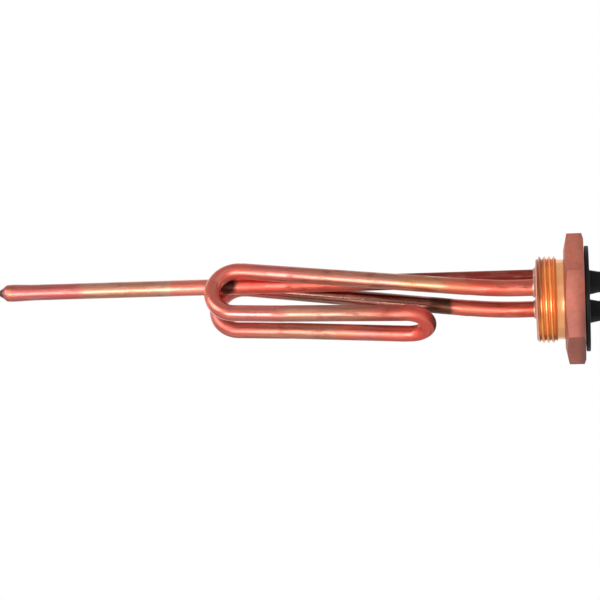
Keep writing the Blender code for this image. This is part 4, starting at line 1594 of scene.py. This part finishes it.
    def _screw_sink(self) -> Piece:
        """The counterbore for the screw's head and washer, and the hole for its shank.

        Returns:
            The tool that cuts it.
        """
        hole, sink = self.screw_hole_diameter / 2, self.sink_diameter / 2
        front = self.front + self.overrun
        ease = 0.3 * MM
        profile = [
            (self.boss_end - self.overrun, 0.0),
            (self.boss_end - self.overrun, hole),
            (self.head_floor, hole),
            (self.head_floor, sink),
            (self.front - ease, sink),
            (self.front, sink + ease),
            (front, sink + ease),
            (front, 0.0),
        ]
        return turn_profile("screw_sink", profile, 64)


@dataclass
class PanScrew:
    """A plated pan-head screw with a cross recess, and the flat washer under it."""

    use: str
    head_diameter: float = 7.0 * MM
    head_height: float = 2.6 * MM
    head_side: float = 1.0 * MM
    shank_diameter: float = 4.0 * MM
    cross_length: float = 3.9 * MM
    cross_width: float = 0.95 * MM
    cross_depth: float = 1.3 * MM
    cross_taper: float = 0.55
    washer_hole_diameter: float = 4.6 * MM
    sides: int = 48

    def build(self, plate: Material) -> None:
        """Turn the screw, sink its cross, and lay the washer.

        Args:
            plate: the finish of both.
        """
        low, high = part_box(f"{self.use}_screw")
        centre = ((low[1] + high[1]) / 2, (low[2] + high[2]) / 2)
        seat, top = high[0] - self.head_height, high[0]
        shank, head, ease = self.shank_diameter / 2, self.head_diameter / 2, 0.15 * MM
        dome = self.head_height - self.head_side
        profile = [
            (low[0], 0.0),
            (low[0], shank - 0.6 * MM),
            (low[0] + 0.6 * MM, shank),
            (seat, shank),
            (seat, head - ease),
            (seat + ease, head),
        ]
        for step in range(9):
            turn = math.pi / 2 * step / 9
            profile.append((top - dome + dome * math.sin(turn), head * math.cos(turn)))
        profile.append((top, 0.0))
        screw = turn_profile(f"{self.use}_screw_turned", profile, self.sides, centre)
        cross = self._cross_arm(top, centre, True)
        cut(cross, self._cross_arm(top, centre, False), "UNION")
        cut(screw, cross)
        hand_over(screw, plate, [f"{self.use}_screw"])
        self._washer(centre, plate)

    def _cross_arm(self, top: float, centre: Pair, across: bool) -> Piece:
        """One arm of the cross, narrowing as it goes in.

        Args:
            top: X of the screw's top.
            centre: the screw's axis, as Y and Z.
            across: whether it lies along Y.

        Returns:
            The arm.
        """
        clear_selection()
        floor = top - self.cross_depth
        height = self.cross_depth + 0.3 * MM
        size = (self.cross_length, self.cross_width)
        if not across:
            size = size[::-1]
        bpy.ops.mesh.primitive_cube_add(size=1.0, location=(floor + height / 2, *centre))
        arm = bpy.context.object
        arm.scale = (height, *size)
        settle(arm, f"{self.use}_screw_cross")
        with editing(arm) as mesh:
            bpy.ops.mesh.select_mode(type="FACE")
            for face in mesh.faces:
                face.select_set(face.normal.x < -0.9)
            ratio = (1.0, self.cross_taper, self.cross_taper)
            bpy.ops.transform.resize(value=ratio, center_override=(floor, *centre))
        return arm

    def _washer(self, centre: Pair, plate: Material) -> None:
        """The washer, with edges eased by tumbling.

        Args:
            centre: its axis, as Y and Z.
            plate: its finish.
        """
        low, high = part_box(f"{self.use}_washer")
        outer, hole = (high[1] - low[1]) / 2, self.washer_hole_diameter / 2
        ease = 0.12 * MM
        profile = [
            (low[0], hole + ease),
            (low[0], outer - ease),
            (low[0] + ease, outer),
            (high[0] - ease, outer),
            (high[0], outer - ease),
            (high[0], hole + ease),
            (high[0] - ease, hole),
            (low[0] + ease, hole),
        ]
        washer = turn_profile(f"{self.use}_washer_blank", profile, self.sides, centre, ring=True)
        hand_over(washer, plate, [f"{self.use}_washer"])


@dataclass
class HeaterEnds:
    """Both ends of the heater: the pin, the ceramic bead round it, and the push-on tab."""

    leg_spacing: float = 20.0 * MM
    leg_height: float = 0.9 * MM
    bead_bore_diameter: float = 3.4 * MM
    bead_shank_diameter: float = 6.2 * MM
    bead_shank: float = 1.8 * MM
    bead_diameter: float = 8.4 * MM
    tab_width: float = 6.3 * MM
    tab_thickness: float = 0.8 * MM
    tab_jog: float = 1.3 * MM
    jog_length: float = 1.2 * MM
    tip_chamfer: float = 1.2 * MM
    hole_diameter: float = 1.7 * MM
    hole_setback: float = 3.2 * MM

    @property
    def centre(self) -> Pair:
        """Y and Z of the front leg."""
        return Side.FRONT.value * self.leg_spacing / 2, self.leg_height

    def build(
        self, steel: Material, tin: Material, glaze: Material
    ) -> None:
        """Model the front end's three pieces and copy them to the rear.

        Args:
            steel: finish of the pin.
            tin: finish of the tab.
            glaze: finish of the bead.
        """
        shapes = (
            (self._pin(), "terminal_pin", steel, Slot.STEEL),
            (self._bead(), "end_bead", glaze, Slot.BEAD),
            (self._tab(), "terminal_tab", tin, Slot.TINNED),
        )
        for shape, kind, material, slot in shapes:
            rear = copied(shape, shape.name.replace("front", "rear"), mirrored=True)
            hand_over(shape, material, [f"{kind}_front"], 35.0)
            hand_over(rear, material, [f"{kind}_rear"], 35.0)

    def _pin(self) -> Piece:
        """The pin, with its sheared ends eased.

        Returns:
            The front pin.
        """
        low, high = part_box("terminal_pin_front")
        radius, ease = (high[2] - low[2]) / 2, 0.25 * MM
        profile = [
            (low[0], 0.0),
            (low[0], radius - ease),
            (low[0] + ease, radius),
            (high[0] - ease, radius),
            (high[0], radius - ease),
            (high[0], 0.0),
        ]
        return turn_profile("terminal_pin_front_rod", profile, 32, self.centre)

    def _bead(self) -> Piece:
        """The bead: a shank in the tube, and a shoulder with rounded lips.

        Returns:
            The front bead.
        """
        low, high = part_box("end_bead_front")
        bore, shank, outer = (
            d / 2 for d in (self.bead_bore_diameter, self.bead_shank_diameter, self.bead_diameter)
        )
        shoulder, lip = low[0] + self.bead_shank, 0.5 * MM
        arc = [math.radians(a) for a in (0, 22, 45, 68, 90)]
        profile = [(low[0], bore), (low[0], shank), (shoulder, shank), (shoulder, outer - lip / 2)]
        profile.append((shoulder + lip / 2, outer))
        profile += [(high[0] - lip + lip * math.sin(a), outer - lip + lip * math.cos(a)) for a in arc]
        profile += [(high[0], bore + lip / 2), (high[0] - lip / 2, bore)]
        return turn_profile("end_bead_front_fired", profile, 48, self.centre, ring=True)

    def _tab(self) -> Piece:
        """The tab: foot along the pin, a jog outwards, and a blade with a coined tip and a hole.

        Returns:
            The front tab.
        """
        low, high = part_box("terminal_tab_front")
        jog_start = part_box("terminal_pin_front")[1][0]
        sign, half = Side.FRONT.value, self.tab_thickness / 2
        blade_y = max(abs(low[1]), abs(high[1])) - half
        foot_y = blade_y - self.tab_jog
        clear_selection()
        place = (low[0], sign * foot_y, self.leg_height)
        bpy.ops.mesh.primitive_plane_add(size=1.0, location=place, rotation=(0.0, math.pi / 2, 0.0))
        tab = bpy.context.object
        tab.scale = (self.tab_width, self.tab_thickness, 1.0)
        settle(tab, "terminal_tab_front_strip")
        coined = (1.0, 0.55, (self.tab_width - 2 * self.tip_chamfer) / self.tab_width)
        moves = [
            (jog_start - low[0], 0.0, None),
            (self.jog_length, sign * self.tab_jog, None),
            (high[0] - self.tip_chamfer - jog_start - self.jog_length, 0.0, None),
            (self.tip_chamfer, 0.0, coined),
        ]
        with editing(tab):
            bpy.ops.mesh.select_all(action="SELECT")
            for length, jog, shrink in moves:
                shift = {"value": (length, jog, 0.0)}
                bpy.ops.mesh.extrude_region_move(TRANSFORM_OT_translate=shift)
                if shrink:
                    tip = (high[0], sign * blade_y, self.leg_height)
                    bpy.ops.transform.resize(value=shrink, center_override=tip)
        face_outwards(tab)
        clear_selection()
        bpy.ops.mesh.primitive_cylinder_add(
            vertices=24,
            radius=self.hole_diameter / 2,
            depth=self.tab_width,
            location=(high[0] - self.hole_setback, sign * blade_y, self.leg_height),
            rotation=(math.pi / 2, 0.0, 0.0),
        )
        cut(tab, settle(bpy.context.object, "tab_punch"))
        soften(tab, 0.08 * MM, 2, 40.0)
        return tab


@dataclass
class EarthTab:
    """The earth terminal: a strip bent from under its screw up to the cover's opening."""

    thickness: float = 0.8 * MM
    bend_radius: float = 0.8 * MM
    tip_chamfer: float = 1.0 * MM
    screw_height: float = -11.5 * MM
    screw_hole_diameter: float = 4.6 * MM

    def build(self, tin: Material) -> Piece:
        """Bend the strip, punch its foot and ease its edges.

        Args:
            tin: its finish.
        """
        low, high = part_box("earth_tab")
        width = high[1] - low[1]
        middle = low[0] + self.thickness / 2
        clear_selection()
        bpy.ops.mesh.primitive_plane_add(size=1.0, location=(middle, 0.0, high[2]))
        tab = bpy.context.object
        tab.scale = (self.thickness, width, 1.0)
        settle(tab, "earth_tab_strip")
        bend_start = low[2] + self.thickness / 2 + self.bend_radius
        strip = TubeBend(tab, Vector((middle, 0.0, high[2])), Vector((0.0, 0.0, -1.0)))
        with editing(tab):
            bpy.ops.mesh.select_all(action="SELECT")
            strip.straight(high[2] - bend_start)
            strip.bend(self.bend_radius, -90.0, (0.0, 1.0, 0.0), 8)
            strip.straight(high[0] - self.tip_chamfer - strip.place.x)
            strip.straight(self.tip_chamfer)
            coined = (1.0, (width - 2 * self.tip_chamfer) / width, 0.55)
            bpy.ops.transform.resize(value=coined, center_override=strip.place)
        face_outwards(tab)
        start, end = low[0] - self.thickness, low[0] + 2 * self.thickness
        radius = self.screw_hole_diameter / 2
        punch = [(start, 0.0), (start, radius), (end, radius), (end, 0.0)]
        cut(tab, turn_profile("earth_tab_punch", punch, 48, (0.0, self.screw_height)))
        soften(tab, 0.08 * MM, 2, 40.0)
        return hand_over(tab, tin, ["earth_tab"], 35.0)


@dataclass
class TerminalSide:
    """Everything behind and in the cover's openings, and the core inside the sheath."""

    def build(self) -> None:
        """Make the small pieces, and give the CAD nodes that stay their own finishes."""
        steel = PlatedMetal("zinc_plate", (0.66, 0.66, 0.64), (0.46, 0.46, 0.45)).material()
        tin = PlatedMetal("tin_plate", (0.72, 0.70, 0.64), (0.52, 0.50, 0.45), 0.3).material()
        glaze = Mineral("bead_ceramic", (0.86, 0.84, 0.78), (0.76, 0.73, 0.66), 0.3, 0.02 * MM, 0.5)
        glazed = glaze.material()
        for use in ("cover", "earth"):
            PanScrew(use).build(steel)
        HeaterEnds().build(steel, tin, glazed)
        EarthTab().build(tin)
        self._dress_core()

    def _dress_core(self) -> None:
        """Finish the nodes that no outside view shows: the coil, its filling and the seals."""
        wire = PlatedMetal("resistance_wire", (0.34, 0.33, 0.32), (0.18, 0.17, 0.17), 0.4).material()
        powder = Mineral("magnesia", (0.86, 0.85, 0.80), (0.70, 0.68, 0.62), 0.85, 0.06 * MM).material()
        seal = Mineral("seal_silicone", (0.60, 0.19, 0.13), (0.44, 0.13, 0.09), 0.55, 0.02 * MM)
        sealed = seal.material()
        finishes = {"magnesia_fill": powder, "resistance_coil": wire}
        finishes |= {f"end_seal_{side.name.lower()}": sealed for side in Side}
        for name, material in finishes.items():
            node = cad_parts[name]
            node.data.materials.clear()
            node.data.materials.append(material)
            LOG.info("%s: carried over from the CAD", name)


@dataclass
class Studio:
    """Pale floor and backdrop, soft lamps, and the camera of the photograph."""

    floor_height: float = -1.2
    floor_size: float = 40.0
    target: Point = (-0.131, 0.0, 0.0)
    azimuth: float = 9.438
    elevation: float = -31.005
    roll: float = 3.272
    distance: float = 0.940994
    focal_pixels: float = 1909.7
    image_size: float = 600.0
    optical_centre: Pair = (296.0, 306.8)
    sensor: float = 36.0
    flags: tuple[tuple[str, Point, float, float], ...] = (
        ("upper_flag", (-0.13, -0.28, 0.33), 35.0, 0.84),
        ("rear_flag", (-0.13, 0.45, -0.40), 90.0, 0.66),
    )
    flag_length: float = 2.6
    flag_level: float = 0.55

    def build(self) -> None:
        """Set the stage."""
        self._floor()
        self._flags()
        self._world()
        self._lamps()
        self._camera()
        scene = bpy.context.scene
        scene.view_settings.view_transform = "Standard"

    def _floor(self) -> None:
        """A large pale floor."""
        clear_selection()
        bpy.ops.mesh.primitive_plane_add(size=self.floor_size, location=(0.0, 0.0, self.floor_height))
        floor = settle(bpy.context.object, "studio_floor")
        shop = PaintShop("floor_paper")
        grain = shop.noise(shop.place(), 40.0, 3.0)
        colour = shop.blend(grain, (0.86, 0.86, 0.86), (0.80, 0.80, 0.80))
        shop.finish(Base_Color=colour, Roughness=0.9)
        paths = shop.node("ShaderNodeLightPath")
        outputs = paths.socket.node.outputs
        seen = Value(shop, outputs["Is Camera Ray"]) + Value(shop, outputs["Is Glossy Ray"])
        seen = seen + Value(shop, outputs["Is Transmission Ray"])
        glow = shop.node("ShaderNodeEmission", sockets={"Color": (1.0, 1.0, 1.0, 1.0), "Strength": 1.0})
        shade = Value(shop, shop.surface.outputs[0])
        sockets = {0: seen * 0.5, 1: shade, 2: glow}
        mixed = shop.node("ShaderNodeMixShader", sockets=sockets)
        shop.tree.links.new(mixed.socket, shop.tree.nodes["Material Output"].inputs["Surface"])
        floor.data.materials.append(shop.material)

    def _flags(self) -> None:
        """Grey cards over and behind the element, which only reflections see."""
        for name, place, turn, width in self.flags:
            self._flag(name, place, turn, width)

    def _flag(self, name: str, place: Point, turn: float, width: float) -> None:
        """Hang one card.

        Args:
            name: the card's name.
            place: its middle.
            turn: about X, in degrees.
            width: across X.
        """
        clear_selection()
        rotation = (math.radians(turn), 0.0, 0.0)
        bpy.ops.mesh.primitive_plane_add(size=1.0, location=place, rotation=rotation)
        flag = bpy.context.object
        flag.scale = (self.flag_length, width, 1.0)
        settle(flag, name)
        shop = PaintShop(f"{name}_card")
        grey = (*(self.flag_level,) * 3, 1.0)
        card = shop.node("ShaderNodeEmission", sockets={"Color": grey, "Strength": 1.0})
        shop.tree.links.new(card.socket, shop.tree.nodes["Material Output"].inputs["Surface"])
        flag.data.materials.append(shop.material)
        for kind in ("camera", "diffuse", "transmission", "shadow"):
            setattr(flag, f"visible_{kind}", False)

    def _world(self) -> None:
        """A white backdrop for the camera and for reflections, and a softer light for all else."""
        world = bpy.data.worlds.new("studio_backdrop")
        world.use_nodes = True
        bpy.context.scene.world = world
        tree = world.node_tree
        back = tree.nodes["Background"]
        back.inputs["Color"].default_value = (1.0, 1.0, 1.0, 1.0)
        paths = tree.nodes.new("ShaderNodeLightPath")
        seen = tree.nodes.new("ShaderNodeMath")
        seen.operation = "ADD"
        tree.links.new(paths.outputs["Is Camera Ray"], seen.inputs[0])
        tree.links.new(paths.outputs["Is Glossy Ray"], seen.inputs[1])
        both = tree.nodes.new("ShaderNodeMath")
        both.operation = "ADD"
        tree.links.new(seen.outputs[0], both.inputs[0])
        tree.links.new(paths.outputs["Is Transmission Ray"], both.inputs[1])
        level = tree.nodes.new("ShaderNodeMapRange")
        level.inputs["To Min"].default_value = 0.55
        level.inputs["To Max"].default_value = 1.0
        tree.links.new(both.outputs[0], level.inputs["Value"])
        tree.links.new(level.outputs[0], back.inputs["Strength"])

    def _lamps(self) -> None:
        """A long key light along the element, a side light for the bends, and one overhead."""
        self._lamp("key_light", (-0.29, -0.54, -0.60), -0.29, (0.70, 0.38), 5.0)
        self._lamp("side_light", (-0.76, -0.53, -0.06), -0.17, (0.50, 0.50), 2.8)
        self._lamp("top_light", (-0.05, -0.40, 0.90), -0.05, (1.2, 0.9), 9.0, False)

    def _lamp(
        self,
        name: str,
        place: Point,
        aim: float,
        size: Pair,
        power: float,
        mirrored: bool = True,
    ) -> None:
        """Hang an area lamp that faces the element.

        Args:
            name: the lamp's name.
            place: where it hangs.
            aim: the X of the element that it faces.
            size: its length along the element and its width.
            power: in watts.
            mirrored: whether metal shows it.
        """
        data = bpy.data.lights.new(name, "AREA")
        data.shape = "RECTANGLE"
        data.size, data.size_y = size
        data.energy = power
        lamp = bpy.data.objects.new(name, data)
        bpy.context.scene.collection.objects.link(lamp)
        away = (Vector(place) - Vector((aim, 0.0, 0.0))).normalized()
        across = away.cross(Vector((1.0, 0.0, 0.0))).normalized()
        basis = Matrix((across.cross(away), across, away)).transposed()
        lamp.matrix_world = Matrix.Translation(place) @ basis.to_4x4()
        lamp.visible_camera = False
        lamp.visible_glossy = mirrored

    def _camera(self) -> None:
        """The camera at the photograph's viewing angle."""
        angles = (self.azimuth, self.elevation, self.roll)
        azimuth, elevation, roll = (math.radians(angle) for angle in angles)
        right = Vector((math.cos(azimuth), math.sin(azimuth), 0.0))
        level = math.cos(elevation)
        ahead = (-math.sin(azimuth) * level, math.cos(azimuth) * level, -math.sin(elevation))
        forward = Vector(ahead)
        up = right.cross(forward)
        rolled_right = right * math.cos(roll) + up * math.sin(roll)
        rolled_up = up * math.cos(roll) - right * math.sin(roll)
        eye = Vector(self.target) - forward * self.distance
        data = bpy.data.cameras.new("camera")
        data.sensor_width = self.sensor
        data.lens = self.focal_pixels / self.image_size * self.sensor
        data.shift_x = 0.5 - self.optical_centre[0] / self.image_size
        data.shift_y = self.optical_centre[1] / self.image_size - 0.5
        data.clip_start = 0.01
        camera = bpy.data.objects.new("camera", data)
        basis = Matrix((rolled_right, rolled_up, -forward)).transposed()
        camera.matrix_world = Matrix.Translation(eye) @ basis.to_4x4()
        bpy.context.scene.collection.objects.link(camera)
        bpy.context.scene.camera = camera


def main() -> None:
    """Build the studio, then the element's pieces in order."""
    logging.basicConfig(level=logging.INFO, format="%(name)s: %(message)s")
    Studio().build()
    ScrewPlug().build()
    HeaterSheath().build()
    ThermostatPocket().build()
    BrazeFillets().build()
    TerminalCover().build()
    TerminalSide().build()
    clear_selection()


if __name__ == "__main__":
    main()
